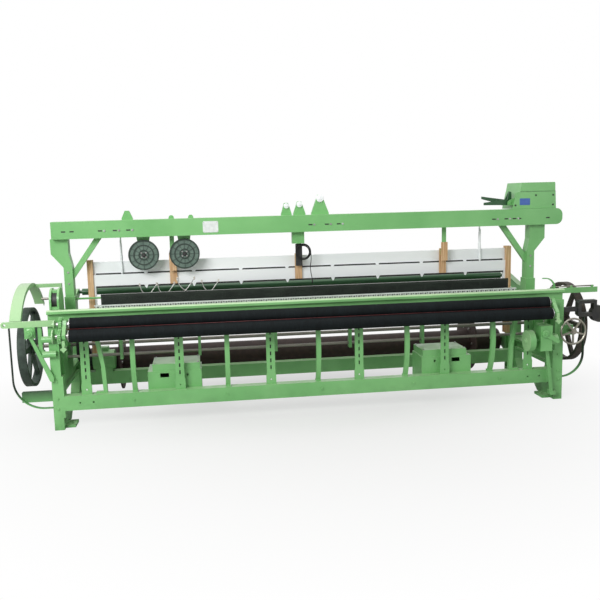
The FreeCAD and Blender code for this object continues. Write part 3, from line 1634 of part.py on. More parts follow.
lever_block = block(
    "lever_block", (-2430, -2345), (back(-34), back(-10)), (LEFT_BAR_BOTTOM - 95, LEFT_BAR_BOTTOM),
)
lever_boss = rod("lever_boss", "Y", (back(-52), back(-10)), (-2388, LEFT_BAR_BOTTOM - 60), 26)
strut_outline = [
    (-2396, LEFT_BAR_BOTTOM - 90), (-2370, LEFT_BAR_BOTTOM - 90), (-2222, 470), (-2222, 430), (-2250, 430),
    (-2258, 445),
]
strut = plate("left_strut", "XZ", strut_outline, (back(-34), back(-22)))
strut_lug = block("strut_lug", (-LEG_OUTER, -LEG_OUTER + 28), (back(-34), back(0)), (430, 470))
lever_set = fuse("left_lever_set", [lever_block, lever_boss, strut, strut_lug])
hanger = block("left_hanger", (-2328, -2296), (back(-16), back(-6)), (LEFT_BAR_BOTTOM - 250, LEFT_BAR_BOTTOM))
hanger_boss = rod("hanger_boss", "Y", (back(-16), back(24)), (-2312, LEFT_BAR_BOTTOM - 222), 30)
housings += [lever_set, fuse("left_hanger_set", [hanger, hanger_boss])]
node("shaft_housings", group("shaft_housings", housings))


def tape_guide():
    """A black cast loop with a round case at its outer end, bolted to the right leg."""
    low = S.rail_place - 160
    high = S.rail_place + 20
    outline = [
        (low, TAPE_BOTTOM + 20), (low + 20, TAPE_BOTTOM), (high, TAPE_BOTTOM), (high, TAPE_TOP),
        (low + 20, TAPE_TOP), (low, TAPE_TOP - 20),
    ]
    window = [
        (low + 34, TAPE_BOTTOM + 36), (high - 30, TAPE_BOTTOM + 36), (high - 30, TAPE_TOP - 30),
        (low + 34, TAPE_TOP - 30),
    ]
    loop = plate("tape_loop", "XZ", outline, (back(20), back(80)), [window])
    lug = block(
        "tape_lug", (LEG_WEB, low + 10), (back(30), back(70)), (TAPE_BOTTOM + 50, TAPE_BOTTOM + 90),
    )
    case = rod("tape_case", "Y", (back(20), back(88)), (high + 30, TAPE_BOTTOM + 20), 76)
    return fuse("right_tape_guide", [loop, lug, case])


node("right_tape_guide", tape_guide())

# ---------------------------------------------------------------- handwheel and take-up pulley

def handwheel():
    """A spoked steel handwheel: eight-sided rim, five spokes and a hub."""
    radius = S.handwheel_radius.value - S.handwheel_rim.value
    y = back(-30).value
    centre = Vector(S.handwheel_place.value, y, S.handwheel_height.value)
    corners = []
    for step in range(8):
        angle = math.radians(22.5 + 45 * step)
        corners.append(
            centre + Vector(radius + S.handwheel_rim.value * math.cos(angle),
                            S.handwheel_rim.value * math.sin(angle), 0)
        )
    rim = strip_face(corners, [None] * 8).revolve(centre, Vector(0, 1, 0), 360)
    hub = Part.makeCylinder(26, 34, centre - Vector(0, 17, 0), Vector(0, 1, 0))
    pieces = [hub]
    count = int(S.handwheel_spokes.value)
    for spoke in range(count):
        bar = Part.makeBox(radius - 18, 10, 16, Vector(18, -5, -8))
        bar.rotate(Vector(0, 0, 0), Vector(0, 1, 0), 90 + 360 / count * spoke)
        bar.translate(centre)
        pieces.append(bar)
    return shaped("handwheel_casting", rim.multiFuse(pieces))


HANDWHEEL_SPOT = (S.handwheel_place, S.handwheel_height)
handwheel_shaft = rod(
    "handwheel_shaft", "Y", (back(-52), back(160)), HANDWHEEL_SPOT, S.handwheel_shaft_radius,
)
node("handwheel", fuse("handwheel", [handwheel(), handwheel_shaft]))
bearing_block = block(
    "handwheel_block", (LEG_OUTER - RECESS, S.handwheel_place + 40), (back(50), back(140)),
    (S.handwheel_height - 46, S.handwheel_height + 46),
)
bearing_bore = rod(
    "handwheel_bore", "Y", (back(40), back(150)), (S.handwheel_place, S.handwheel_height),
    S.handwheel_shaft_radius + S.running_clearance,
)
node("handwheel_bearing", cut("handwheel_bearing", bearing_block, [bearing_bore]))

PULLEY_SPOT = (back(-S.take_up_pulley_forward), S.take_up_pulley_height)
PULLEY_LEFT = S.take_up_pulley_place - S.take_up_pulley_width / 2
PULLEY_RIGHT = PULLEY_LEFT + S.take_up_pulley_width
TAKE_UP_BOX_RIGHT = S.take_up_box_left + S.take_up_box_width
pulley_disc = rod("take_up_disc", "X", (PULLEY_LEFT, PULLEY_RIGHT), PULLEY_SPOT, S.take_up_pulley_radius)
disc_hole = rod(
    "take_up_hole", "X", (PULLEY_LEFT - 5, PULLEY_RIGHT + 5), PULLEY_SPOT,
    S.take_up_pin_radius + S.running_clearance,
)
node("take_up_pulley", cut("take_up_pulley", pulley_disc, [disc_hole]))
BOX_FRONT = back(-20 - S.take_up_box_depth)
STRAP_Y = (back(-54), back(-46))
strap_outline = [
    (2049, S.take_up_box_bottom + 50), (2110, 58), (2142, 58), (2142, 90), (2139, 90),
    (2081, S.take_up_box_bottom + 50),
]
take_up_pieces = [
    rod("take_up_pin", "X", (PULLEY_LEFT - 12, TAKE_UP_BOX_RIGHT), PULLEY_SPOT, S.take_up_pin_radius),
    block(
        "take_up_box", (S.take_up_box_left, TAKE_UP_BOX_RIGHT), (BOX_FRONT, back(-20)),
        (S.take_up_box_bottom, S.take_up_box_top),
    ),
    rod(
        "take_up_boss", "X", (TAKE_UP_BOX_RIGHT - 5, LEG_INNER - 20), PULLEY_SPOT,
        S.take_up_boss_radius,
    ),
    block(
        "take_up_arm", (TAKE_UP_BOX_RIGHT - 40, LEG_INNER), (back(-60), back(20)),
        (S.take_up_pulley_height - 40, S.take_up_pulley_height + 40),
    ),
    plate("take_up_strap", "XZ", strap_outline, STRAP_Y),
    block("take_up_foot", (2120, LEG_INNER), (STRAP_Y[0], back(20)), (58, 90)),
]
node("take_up_pulley_bracket", fuse("take_up_pulley_bracket", take_up_pieces))

# ---------------------------------------------------------------- weft fingers

FINGER_RAIL_HEIGHT = S.frame_height + S.finger_rise
FINGER_CROSSINGS = ((-1465, -4), (-1309, -4), (-1130, 36), (-913, 7))
WIRE_PATHS = (
    ((-94, -62), (-58, -45), (0, 0), (52, 62), (86, 112)),
    ((-65, 109), (-48, 52), (0, 0), (48, -26), (84, -38)),
)


def weft_fingers():
    """Crossed wire fingers with upright eyes, clamped on one rail from the left post."""
    rail_y = back(500).value
    z = FINGER_RAIL_HEIGHT.value
    post_edge = S.post_inner.value - (S.post_foot_width.value - S.post_width.value) / 2
    rail = Part.makeCylinder(
        S.finger_rail_radius.value, post_edge - S.finger_rail_end.value, Vector(-post_edge, rail_y, z),
        Vector(1, 0, 0),
    )
    side = S.finger_clamp.value
    wire_radius = S.finger_wire_radius.value
    tall = S.finger_tip_length.value
    pieces = []
    for place, rise in FINGER_CROSSINGS:
        corner = Vector(place - side / 2, rail_y - 34, z - side / 2)
        pieces.append(Part.makeBox(side, 40, side + max(rise, 0), corner))
        for layer, path in enumerate(WIRE_PATHS):
            y = rail_y - 28 + 8 * layer
            points = [Vector(place + across, y, z + rise + up) for across, up in path]
            for low, high in zip(points, points[1:]):
                run = high - low
                pieces.append(Part.makeCylinder(wire_radius, run.Length + 1, low, run))
            for tip in (points[0], points[-1]):
                pieces.append(
                    Part.makeCylinder(S.finger_tip_radius.value, tall, tip - Vector(0, 0, tall / 2))
                )
    return rail.multiFuse(pieces).removeSplitter()


node("weft_fingers", shaped("weft_fingers", weft_fingers()))

# ---------------------------------------------------------------- check and write

doc.recompute()
for thing in doc.Objects:
    if "Invalid" in thing.State or "Error" in thing.State:
        raise RuntimeError(f"{thing.Name} failed: {thing.State}")
os.makedirs("parts", exist_ok=True)
for piece in NODES:
    shape = piece.Shape
    if shape.isNull() or not shape.isValid() or not shape.Solids:
        raise RuntimeError(f"{piece.Label} has no valid solid")
    shape.exportStep(f"parts/{piece.Label}.step")
print(len(NODES), "nodes")
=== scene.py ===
"""The finish of a wide power loom: enamelled castings, rubber rollers, aluminium heald frames.

Metres, in the loom's own frame: X along the machine, Y from the weaver to the warp, Z up.
"""
import json
import math

import bmesh
import bpy
from mathutils import Matrix, Vector


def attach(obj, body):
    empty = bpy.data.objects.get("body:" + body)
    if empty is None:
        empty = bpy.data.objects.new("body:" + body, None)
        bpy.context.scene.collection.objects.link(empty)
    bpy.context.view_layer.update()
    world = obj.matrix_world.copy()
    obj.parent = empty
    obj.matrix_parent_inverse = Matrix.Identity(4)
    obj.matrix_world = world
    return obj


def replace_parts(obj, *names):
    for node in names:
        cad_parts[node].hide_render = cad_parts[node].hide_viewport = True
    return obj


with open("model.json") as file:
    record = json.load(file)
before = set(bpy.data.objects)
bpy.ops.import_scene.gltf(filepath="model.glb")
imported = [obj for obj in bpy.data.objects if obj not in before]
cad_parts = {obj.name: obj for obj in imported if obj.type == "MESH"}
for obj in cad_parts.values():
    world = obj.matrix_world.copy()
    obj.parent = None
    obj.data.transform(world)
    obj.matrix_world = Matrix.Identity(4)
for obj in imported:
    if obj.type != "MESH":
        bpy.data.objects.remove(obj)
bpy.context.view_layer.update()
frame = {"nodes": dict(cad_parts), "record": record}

# ---------------------------------------------------------------- camera, light and floor

CAMERA_PLACE = (-0.9389, -6.6653, 1.8984)
CAMERA_RIGHT = (0.9910, -0.1316, -0.0246)
CAMERA_UP = (0.0427, 0.1368, 0.9897)
CAMERA_LENS = 43.6
FLOOR_GREY = "#D2D2CF"
FLOOR_REACH = 40
ROOM_LIGHT = 0.34
WHITE = (1, 1, 1, 1)


def linear(colour):
    """The linear colour of an sRGB hex value."""
    channels = [int(colour[i:i + 2], 16) / 255 for i in (1, 3, 5)]
    return tuple(c / 12.92 if c <= 0.04045 else ((c + 0.055) / 1.055) ** 2.4 for c in channels) + (1.0,)


def add(tree, kind, inputs=None, **settings):
    """Adds a node; inputs are values or other nodes' outputs by name, settings its properties."""
    node = tree.nodes.new(kind)
    for name, value in settings.items():
        setattr(node, name, value)
    for name, value in (inputs or {}).items():
        if isinstance(name, int):
            socket = node.inputs[name]
        else:
            socket = next(s for s in node.inputs if s.name == name and s.enabled)
        if isinstance(value, bpy.types.NodeSocket):
            tree.links.new(value, socket)
        else:
            socket.default_value = value
    return node


def place_camera():
    """The photograph's view of the loom."""
    camera = bpy.data.objects.new("camera", bpy.data.cameras.new("camera"))
    bpy.context.scene.collection.objects.link(camera)
    right = Vector(CAMERA_RIGHT).normalized()
    up = (Vector(CAMERA_UP) - right * right.dot(Vector(CAMERA_UP))).normalized()
    turn = Matrix((right, up, right.cross(up))).transposed().to_4x4()
    camera.matrix_world = Matrix.Translation(CAMERA_PLACE) @ turn
    camera.data.lens = CAMERA_LENS
    camera.data.sensor_width = 36
    camera.data.clip_end = 100
    bpy.context.scene.camera = camera


def softbox(name, place, target, width, height, power):
    """A large soft lamp that faces a point."""
    lamp = bpy.data.lights.new(name, "AREA")
    lamp.shape = "RECTANGLE"
    lamp.size = width
    lamp.size_y = height
    lamp.energy = power
    box = bpy.data.objects.new(name, lamp)
    bpy.context.scene.collection.objects.link(box)
    facing = (Vector(target) - Vector(place)).to_track_quat("-Z", "Y")
    box.matrix_world = Matrix.Translation(place) @ facing.to_matrix().to_4x4()


def light_studio():
    """Three softboxes and a surround that is plain white to the eye but lights the loom softly."""
    softbox("key_light", (-4.5, -6.0, 4.6), (-0.3, 0, 0.9), 4.0, 2.6, 440)
    softbox("top_light", (-0.5, -0.5, 5.5), (0, 0, 0.9), 6.0, 2.5, 90)
    softbox("fill_light", (5.5, -5.0, 3.0), (0.5, 0, 0.8), 3.0, 3.0, 40)
    world = bpy.data.worlds.new("studio")
    bpy.context.scene.world = world
    world.use_nodes = True
    tree = world.node_tree
    tree.nodes.clear()
    rays = add(tree, "ShaderNodeLightPath").outputs
    either = {0: rays["Is Camera Ray"], 1: rays["Is Glossy Ray"]}
    seen = add(tree, "ShaderNodeMath", either, operation="MAXIMUM").outputs[0]
    spread = {"Value": seen, "To Min": ROOM_LIGHT, "To Max": 1.0}
    strength = add(tree, "ShaderNodeMapRange", spread).outputs["Result"]
    light = add(tree, "ShaderNodeBackground", {"Color": WHITE, "Strength": strength})
    add(tree, "ShaderNodeOutputWorld", {"Surface": light.outputs[0]})


def lay_floor():
    """A wide floor that keeps the loom's shadow and turns white to the eye farther off."""
    mesh = bpy.data.meshes.new("floor")
    corners = [(x * FLOOR_REACH, y * FLOOR_REACH, 0) for x, y in ((-1, -1), (1, -1), (1, 1), (-1, 1))]
    mesh.from_pydata(corners, [], [(0, 1, 2, 3)])
    floor = bpy.data.objects.new("floor", mesh)
    bpy.context.scene.collection.objects.link(floor)
    paint = bpy.data.materials.new("pale_floor")
    paint.use_nodes = True
    tree = paint.node_tree
    shader = tree.nodes["Principled BSDF"]
    shader.inputs["Base Color"].default_value = linear(FLOOR_GREY)
    shader.inputs["Roughness"].default_value = 0.9
    seen = add(tree, "ShaderNodeLightPath").outputs["Is Camera Ray"]
    place = add(tree, "ShaderNodeTexCoord").outputs["Object"]
    away = add(tree, "ShaderNodeVectorMath", {0: place}, operation="LENGTH").outputs["Value"]
    fade = {"Value": away, "From Min": 0.9, "From Max": 3.6, "To Min": 0.60, "To Max": 1.0}
    far = add(tree, "ShaderNodeMapRange", fade).outputs["Result"]
    share = add(tree, "ShaderNodeMath", {0: seen, 1: far}, operation="MULTIPLY").outputs[0]
    white = add(tree, "ShaderNodeEmission", {"Color": WHITE, "Strength": 1.0}).outputs[0]
    mixed = add(tree, "ShaderNodeMixShader", {0: share, 1: shader.outputs[0], 2: white})
    tree.links.new(mixed.outputs[0], tree.nodes["Material Output"].inputs["Surface"])
    mesh.materials.append(paint)


bpy.context.scene.view_settings.view_transform = "Standard"
place_camera()
light_studio()
lay_floor()

# ---------------------------------------------------------------- materials


def new_surface(name, roughness, metallic=0.0, **shader_values):
    """An empty material: its tree, its shader and the loom's own coordinates."""
    material = bpy.data.materials.new(name)
    material.use_nodes = True
    tree = material.node_tree
    shader = tree.nodes["Principled BSDF"]
    shader.inputs["Roughness"].default_value = roughness
    shader.inputs["Metallic"].default_value = metallic
    for key, value in shader_values.items():
        shader.inputs[key.replace("_", " ").title().replace("Ior", "IOR")].default_value = value
    place = add(tree, "ShaderNodeTexCoord").outputs["Object"]
    return material, tree, shader, place


def noise(tree, place, grain, detail=3.0, stretch=(1, 1, 1)):
    """Soft noise whose blotches are about grain metres across."""
    turned = add(tree, "ShaderNodeMapping", {"Vector": place, "Scale": stretch})
    values = {"Vector": turned.outputs[0], "Scale": 1 / grain, "Detail": detail}
    return add(tree, "ShaderNodeTexNoise", values).outputs["Fac"]


def along_axis(tree, vector, axis):
    """One axis of a place or a direction."""
    return add(tree, "ShaderNodeSeparateXYZ", {"Vector": vector}).outputs[axis]


def set_colour(tree, shader, colour):
    """Gives the shader its colour."""
    tree.links.new(colour, shader.inputs["Base Color"])


def blended(tree, share, first, second):
    """Two colours mixed by a share from 0 to 1."""
    mix = add(tree, "ShaderNodeMix", {"Factor": share, "A": first, "B": second}, data_type="RGBA")
    return next(s for s in mix.outputs if s.enabled)


def ramp(tree, factor, low, high, first, second):
    """A colour that goes from the first hex to the second between two noise levels."""
    stops = add(tree, "ShaderNodeValToRGB", {"Fac": factor})
    stops.color_ramp.elements[0].position = low
    stops.color_ramp.elements[1].position = high
    stops.color_ramp.elements[0].color = linear(first)
    stops.color_ramp.elements[1].color = linear(second)
    return stops.outputs["Color"]


def level(tree, factor, low, high, first, second):
    """A number that goes from first to second as the factor goes from low to high."""
    spread = {"Value": factor, "From Min": low, "From Max": high, "To Min": first, "To Max": second}
    return add(tree, "ShaderNodeMapRange", spread).outputs["Result"]


def relief(tree, shader, height, depth, strength=1.0):
    """Bump of a real depth in metres."""
    bump = add(tree, "ShaderNodeBump", {"Height": height, "Distance": depth, "Strength": strength})
    tree.links.new(bump.outputs["Normal"], shader.inputs["Normal"])


def enamel(name, fresh, faded, grime, top_highlight):
    """Sprayed machine enamel on castings: satin, uneven in tone, a painted highlight on up-facing faces,
    grimy near the floor.
    """
    material, tree, shader, place = new_surface(name, 0.36, coat_weight=0.12, coat_roughness=0.2)
    tone = ramp(tree, noise(tree, place, 0.55), 0.35, 0.68, faded, fresh)
    low_grime = level(tree, along_axis(tree, place, "Z"), 0.0, 0.30, 0.6, 0.0)
    patches = level(tree, noise(tree, place, 0.11, 6.0), 0.42, 0.72, 0.0, 1.0)
    facing = along_axis(tree, add(tree, "ShaderNodeNewGeometry").outputs["Normal"], "Z")
    # up-facing faces are mixed towards the last colour given: a painted highlight
    highlighted = blended(tree, level(tree, facing, 0.35, 0.95, 0.0, 0.8), tone, linear(top_highlight))
    share = add(tree, "ShaderNodeMath", {0: low_grime, 1: patches}, operation="MULTIPLY")
    set_colour(tree, shader, blended(tree, share.outputs[0], highlighted, linear(grime)))
    tree.links.new(level(tree, patches, 0.0, 1.0, 0.30, 0.50), shader.inputs["Roughness"])
    relief(tree, shader, noise(tree, place, 0.006, 2.0), 0.0006, 0.35)
    return material


def roller_cloth():
    """Roller covering: black rubberised cloth in close turns, matt, scuffed grey in bands."""
    material, tree, shader, place = new_surface("rubberised_roller_cloth", 0.66, specular_ior_level=0.12)
    bands = noise(tree, place, 0.10, 4.0, (1.0, 0.12, 0.12))
    fine = noise(tree, place, 0.012, 3.0, (1.0, 0.3, 0.3))
    tone = ramp(tree, bands, 0.35, 0.70, "#0B0F10", "#12181A")
    scuff = level(tree, fine, 0.45, 0.75, 0.0, 0.35)
    set_colour(tree, shader, blended(tree, scuff, tone, linear("#1D2628")))
    turns = {"Vector": place, "Scale": 6.0, "Distortion": 0.4}
    winding = add(tree, "ShaderNodeTexWave", turns, bands_direction="X")
    relief(tree, shader, winding.outputs["Fac"], 0.0006, 0.25)
    return material


def bright_steel(name, tone, roughness):
    """Turned and ground steel: fine rings of tool marks, a faint tarnish."""
    material, tree, shader, place = new_surface(name, roughness, 1.0)
    set_colour(tree, shader, ramp(tree, noise(tree, place, 0.08, 5.0), 0.35, 0.75, tone, "#8C8880"))
    marks = noise(tree, place, 0.004, 2.0, (1.0, 0.08, 0.08))
    sheen = level(tree, marks, 0.3, 0.7, roughness * 0.8, roughness * 1.3)
    tree.links.new(sheen, shader.inputs["Roughness"])
    relief(tree, shader, marks, 0.0003, 0.25)
    return material


def heald_aluminium():
    """Extruded heald-frame aluminium with a clear anodised skin, almost white under soft light."""
    material, tree, shader, place = new_surface("anodised_aluminium", 0.42, 0.1)
    tone = ramp(tree, noise(tree, place, 0.3, 4.0, (0.2, 1.0, 1.0)), 0.35, 0.7, "#F7F9FA", "#E6EAEC")
    set_colour(tree, shader, tone)
    draw_lines = noise(tree, place, 0.003, 2.0, (0.02, 1.0, 1.0))
    relief(tree, shader, draw_lines, 0.0003, 0.3)
    return material


def reed_wire():
    """Reed wire and its baulks: dark steel, darkened further as painted shade, with a dull gleam on the
    flats.
    """
    material, tree, shader, place = new_surface("reed_wire_painted_shade", 0.5, 0.4)
    # near-black tone: painted shade
    tone = ramp(tree, noise(tree, place, 0.06, 4.0, (0.3, 1.0, 1.0)), 0.35, 0.7, "#1A211C", "#2B332D")
    set_colour(tree, shader, tone)
    relief(tree, shader, noise(tree, place, 0.003, 2.0), 0.0003, 0.3)
    return material


def sheave_paint():
    """Thin grey-green wash on cast iron: uneven in tone on the web, ribs and rims darker as painted
    shade.
    """
    material, tree, shader, place = new_surface("washed_sheave_casting", 0.6, 0.1)
    # the mask is 0 on the forward ribs and rims, which get the dark colour as painted shade
    rib_shade_mask = level(tree, along_axis(tree, place, "Y"), -0.0735, -0.0690, 0.0, 1.0)
    web_tone = ramp(tree, noise(tree, place, 0.04, 5.0), 0.35, 0.7, "#566A60", "#6B7F74")
    set_colour(tree, shader, blended(tree, rib_shade_mask, linear("#2B3932"), web_tone))
    relief(tree, shader, noise(tree, place, 0.004, 4.0), 0.0006, 0.5)
    return material


def cast_iron(name, light, dark):
    """Sand-cast iron under a thin wash of paint: grainy, matt, clouded with darker patches."""
    material, tree, shader, place = new_surface(name, 0.62, 0.2)
    set_colour(tree, shader, ramp(tree, noise(tree, place, 0.05, 6.0), 0.35, 0.7, dark, light))
    relief(tree, shader, noise(tree, place, 0.004, 4.0), 0.0008, 0.6)
    return material


def beech():
    """Oiled beech strips: straight grain along the height, short dark pores."""
    material, tree, shader, place = new_surface("oiled_beech", 0.55)
    grain = noise(tree, place, 0.012, 5.0, (1.0, 1.0, 0.06))
    tone = ramp(tree, grain, 0.35, 0.68, "#B98D62", "#DDBB92")
    set_colour(tree, shader, tone)
    relief(tree, shader, grain, 0.0005, 0.4)
    return material


def plain_moulding(name, colour, second_tone, roughness):
    """A moulded or brushed-on finish with faint handling marks."""
    material, tree, shader, place = new_surface(name, roughness)
    set_colour(tree, shader, ramp(tree, noise(tree, place, 0.05, 5.0), 0.4, 0.75, colour, second_tone))
    relief(tree, shader, noise(tree, place, 0.003, 2.0), 0.0003, 0.3)
    return material


def rail_paint():
    """Guard rails: darker over the bend, green enamel towards the foot."""
    material, tree, shader, place = new_surface("rail_paint_dark_over_bend", 0.5)
    upper = level(tree, along_axis(tree, place, "Z"), 0.24, 0.36, 0.0, 1.0)
    second_tone = ramp(tree, noise(tree, place, 0.05, 4.0), 0.35, 0.7, "#1C261E", "#2C3A2E")
    set_colour(tree, shader, blended(tree, upper, linear("#639F60"), second_tone))
    return material


def label_plate(name, colour, edge, roughness, metallic):
    """A blank printed label: even colour with a faint clouding and a satin film."""
    material, tree, shader, place = new_surface(name, roughness, metallic)
    set_colour(tree, shader, ramp(tree, noise(tree, place, 0.03, 4.0), 0.35, 0.7, colour, edge))
    relief(tree, shader, noise(tree, place, 0.002, 2.0), 0.0002, 0.2)
    return material


# the last colour given to each enamel is its painted highlight on up-facing faces
GREEN = enamel("green_machine_enamel", "#7DBB76", "#6CAD67", "#4B6A45", "#A5CF98")
FINISHES = {
    "green_paint": GREEN,
    "pale_green_paint": enamel("pale_guard_enamel", "#A6CF98", "#8FBE85", "#6D7F62", "#BBD8AE"),
    # the dark green is the machine green darkened as painted shade
    "dark_green_paint": enamel("shaded_green_enamel", "#285A32", "#1F4929", "#1D3A22", "#3E6F46"),
    "black_paint": plain_moulding("black_machine_paint", "#1B1C1C", "#34332F", 0.5),
    "brown_paint": plain_moulding("red_oxide_paint", "#2E1F1A", "#3D2A24", 0.65),
    "roller_rubber": roller_cloth(),
    "belt_rubber": plain_moulding("belt_rubber", "#151515", "#262524", 0.8),
    "bright_steel": bright_steel("ground_steel", "#C4C6C6", 0.30),
    "dark_steel": bright_steel("oiled_dark_steel", "#4A4B49", 0.42),
    "frame_aluminium": heald_aluminium(),
    "grey_casting": cast_iron("grey_green_casting", "#46554C", "#313D36"),
    "flywheel_casting": cast_iron("brown_grey_casting", "#4F463E", "#38332D"),
    "beech": beech(),
}
SHEAVE = sheave_paint()
SHAFT = bright_steel("oiled_shaft_steel", "#8A877F", 0.45)
PALE = FINISHES["pale_green_paint"]
SHADED_GREEN = FINISHES["dark_green_paint"]
BLACK = FINISHES["black_paint"]
STEEL = FINISHES["bright_steel"]
ALUMINIUM = FINISHES["frame_aluminium"]
BEECH = FINISHES["beech"]
OWN_FINISHES = {
    "reed": reed_wire(),
    "first_sheave": SHEAVE,
    "second_sheave": SHEAVE,
    "end_rails": rail_paint(),
    "main_shaft": SHAFT,
    "rocking_shaft": SHAFT,
    "handwheel": bright_steel("worn_wheel_steel", "#A9A598", 0.36),
    "rapier_track": plain_moulding("nickelled_track_strip", "#D9DEDA", "#C3C9C4", 0.35),
    "left_guide_bar": PALE,
    # the breast beam's enamel has a paler, stronger painted highlight on its top
    "breast_beam": enamel("beam_enamel_painted_highlight", "#86C27E", "#76B26F", "#4B6A45", "#CDE4BA"),
    # the dobby levers take the green darkened as painted shade
    "front_dobby_lever": SHADED_GREEN,
    "rear_dobby_lever": SHADED_GREEN,
}
for part in frame["record"]["subparts"]:
    mesh = frame["nodes"][part["node"]].data
    mesh.materials.clear()
    mesh.materials.append(OWN_FINISHES.get(part["node"], FINISHES[part["material_slot"]]))

# ---------------------------------------------------------------- repeated small pieces


def tree_input(tree, name, kind, value=None):
    """A named input of a geometry tree."""
    socket = tree.interface.new_socket(name, in_out="INPUT", socket_type="NodeSocket" + kind)
    if value is not None:
        socket.default_value = value
    return socket.identifier


def new_tree(name, **sizes):
    """A geometry tree with its points, its sizes and its material as named inputs."""
    tree = bpy.data.node_groups.new(name, "GeometryNodeTree")
    tree.interface.new_socket("Geometry", in_out="OUTPUT", socket_type="NodeSocketGeometry")
    keys = {"Geometry": tree_input(tree, "Geometry", "Geometry")}
    for size, value in sizes.items():
        keys[size] = tree_input(tree, size, "Float", value)
    keys["Material"] = tree_input(tree, "Material", "Material")
    start = add(tree, "NodeGroupInput")
    return tree, keys, start.outputs


def scatter(tree, given, shape):
    """Puts the shape on every point, turned along the point's direction, and makes it real."""
    stored = {"Name": "facing"}
    facing = add(tree, "GeometryNodeInputNamedAttribute", stored, data_type="FLOAT_VECTOR")
    turn = add(tree, "FunctionNodeAlignRotationToVector", {"Vector": facing.outputs[0]}, axis="Z")
    copies = {"Points": given["Geometry"], "Instance": shape, "Rotation": turn.outputs[0]}
    placed = add(tree, "GeometryNodeInstanceOnPoints", copies)
    real = add(tree, "GeometryNodeRealizeInstances", {"Geometry": placed.outputs[0]})
    paint = {"Geometry": real.outputs[0], "Material": given["Material"]}
    painted = add(tree, "GeometryNodeSetMaterial", paint)
    add(tree, "NodeGroupOutput", {"Geometry": painted.outputs[0]})


def lifted(tree, shape, height):
    """The shape raised along its own axis by a height."""
    up = add(tree, "ShaderNodeCombineXYZ", {"Z": height})
    moved = {"Geometry": shape, "Translation": up.outputs[0]}
    return add(tree, "GeometryNodeTransform", moved).outputs[0]


def times(tree, value, factor):
    """A size times a number."""
    return add(tree, "ShaderNodeMath", {0: value, 1: factor}, operation="MULTIPLY").outputs[0]


def cylinder(tree, given, sides, width, thickness, middle):
    """A cylinder: width is a share of the given radius, thickness and middle of the given height."""
    sizes = {
        "Vertices": sides,
        "Radius": times(tree, given["Radius"], width),
        "Depth": times(tree, given["Height"], thickness),
    }
    solid = add(tree, "GeometryNodeMeshCylinder", sizes).outputs[0]
    return lifted(tree, solid, times(tree, given["Height"], middle))


def bolt_head_tree():
    """A hexagon head on a round washer."""
    tree, keys, given = new_tree("bolt_heads", Radius=0.010, Height=0.007)
    both = add(tree, "GeometryNodeJoinGeometry")
    tree.links.new(cylinder(tree, given, 6, 1.0, 1.0, 0.8), both.inputs[0])
    tree.links.new(cylinder(tree, given, 16, 1.35, 0.4, 0.2), both.inputs[0])
    scatter(tree, given, both.outputs[0])
    return tree, keys


def box_tree(name):
    """A small box with its three sizes as inputs; its height grows along the point's direction."""
    tree, keys, given = new_tree(name, Width=0.01, Depth=0.01, Height=0.01)
    sizes = {"X": given["Width"], "Y": given["Depth"], "Z": given["Height"]}
    extent = add(tree, "ShaderNodeCombineXYZ", sizes)
    cube = add(tree, "GeometryNodeMeshCube", {"Size": extent.outputs[0]}).outputs[0]
    scatter(tree, given, lifted(tree, cube, times(tree, given["Height"], 0.5)))
    return tree, keys


def dome_tree():
    """A low round rivet head."""
    tree, keys, given = new_tree("rivet_heads", Radius=0.004, Height=0.002)
    ball = add(tree, "GeometryNodeMeshUVSphere", {"Segments": 12, "Rings": 6, "Radius": given["Radius"]})
    flat = add(tree, "ShaderNodeMath", {0: given["Height"], 1: given["Radius"]}, operation="DIVIDE")
    squash = add(tree, "ShaderNodeCombineXYZ", {"X": 1.0, "Y": 1.0, "Z": flat.outputs[0]})
    low = add(tree, "GeometryNodeTransform", {"Geometry": ball.outputs[0], "Scale": squash.outputs[0]})
    scatter(tree, given, low.outputs[0])
    return tree, keys


def points_mesh(name, spots):
    """Loose points, each with the direction that its piece faces."""
    mesh = bpy.data.meshes.new(name)
    mesh.from_pydata([place for place, _ in spots], [], [])
    facing = mesh.attributes.new("facing", "FLOAT_VECTOR", "POINT")
    for index, (_, direction) in enumerate(spots):
        facing.data[index].vector = direction
    return mesh


def grown(name, spots, recipe, material, body, **sizes):
    """Runs a geometry tree on points and keeps the plain mesh that comes out."""
    tree, keys = recipe
    seed = bpy.data.objects.new(name + "_points", points_mesh(name + "_points", spots))
    bpy.context.scene.collection.objects.link(seed)
    modifier = seed.modifiers.new("grow", "NODES")
    modifier.node_group = tree
    modifier[keys["Material"]] = material
    for size, value in sizes.items():
        modifier[keys[size]] = value
    ready = seed.evaluated_get(bpy.context.evaluated_depsgraph_get())
    mesh = bpy.data.meshes.new_from_object(ready)
    bpy.data.objects.remove(seed)
    mesh.name = name
    piece = bpy.data.objects.new(name, mesh)
    bpy.context.scene.collection.objects.link(piece)
    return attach(piece, body)


BOLT_HEADS = bolt_head_tree()
REED_DENTS = box_tree("reed_dents")
RIVETS = dome_tree()
FRONT, UP, LEFT, RIGHT = (0, -1, 0), (0, 0, 1), (-1, 0, 0), (1, 0, 0)
FRAME_FACE = -0.550
MAIN_SHAFT = (-0.070, 0.635)
WARP_BEAM = (0.700, 0.320)
GIRT_BOLTS = (-1.588, -0.797, 0.026, 0.852, 1.650)
SLOT_HEIGHT = 1.643
PLAIN_SLOTS = (-2.145, -2.075, 1.995, 2.275)
SCREWED_SLOTS = (-1.835, -1.710, -1.595, 0.015, 0.165, 0.275, 1.745, 1.865, 1.945)


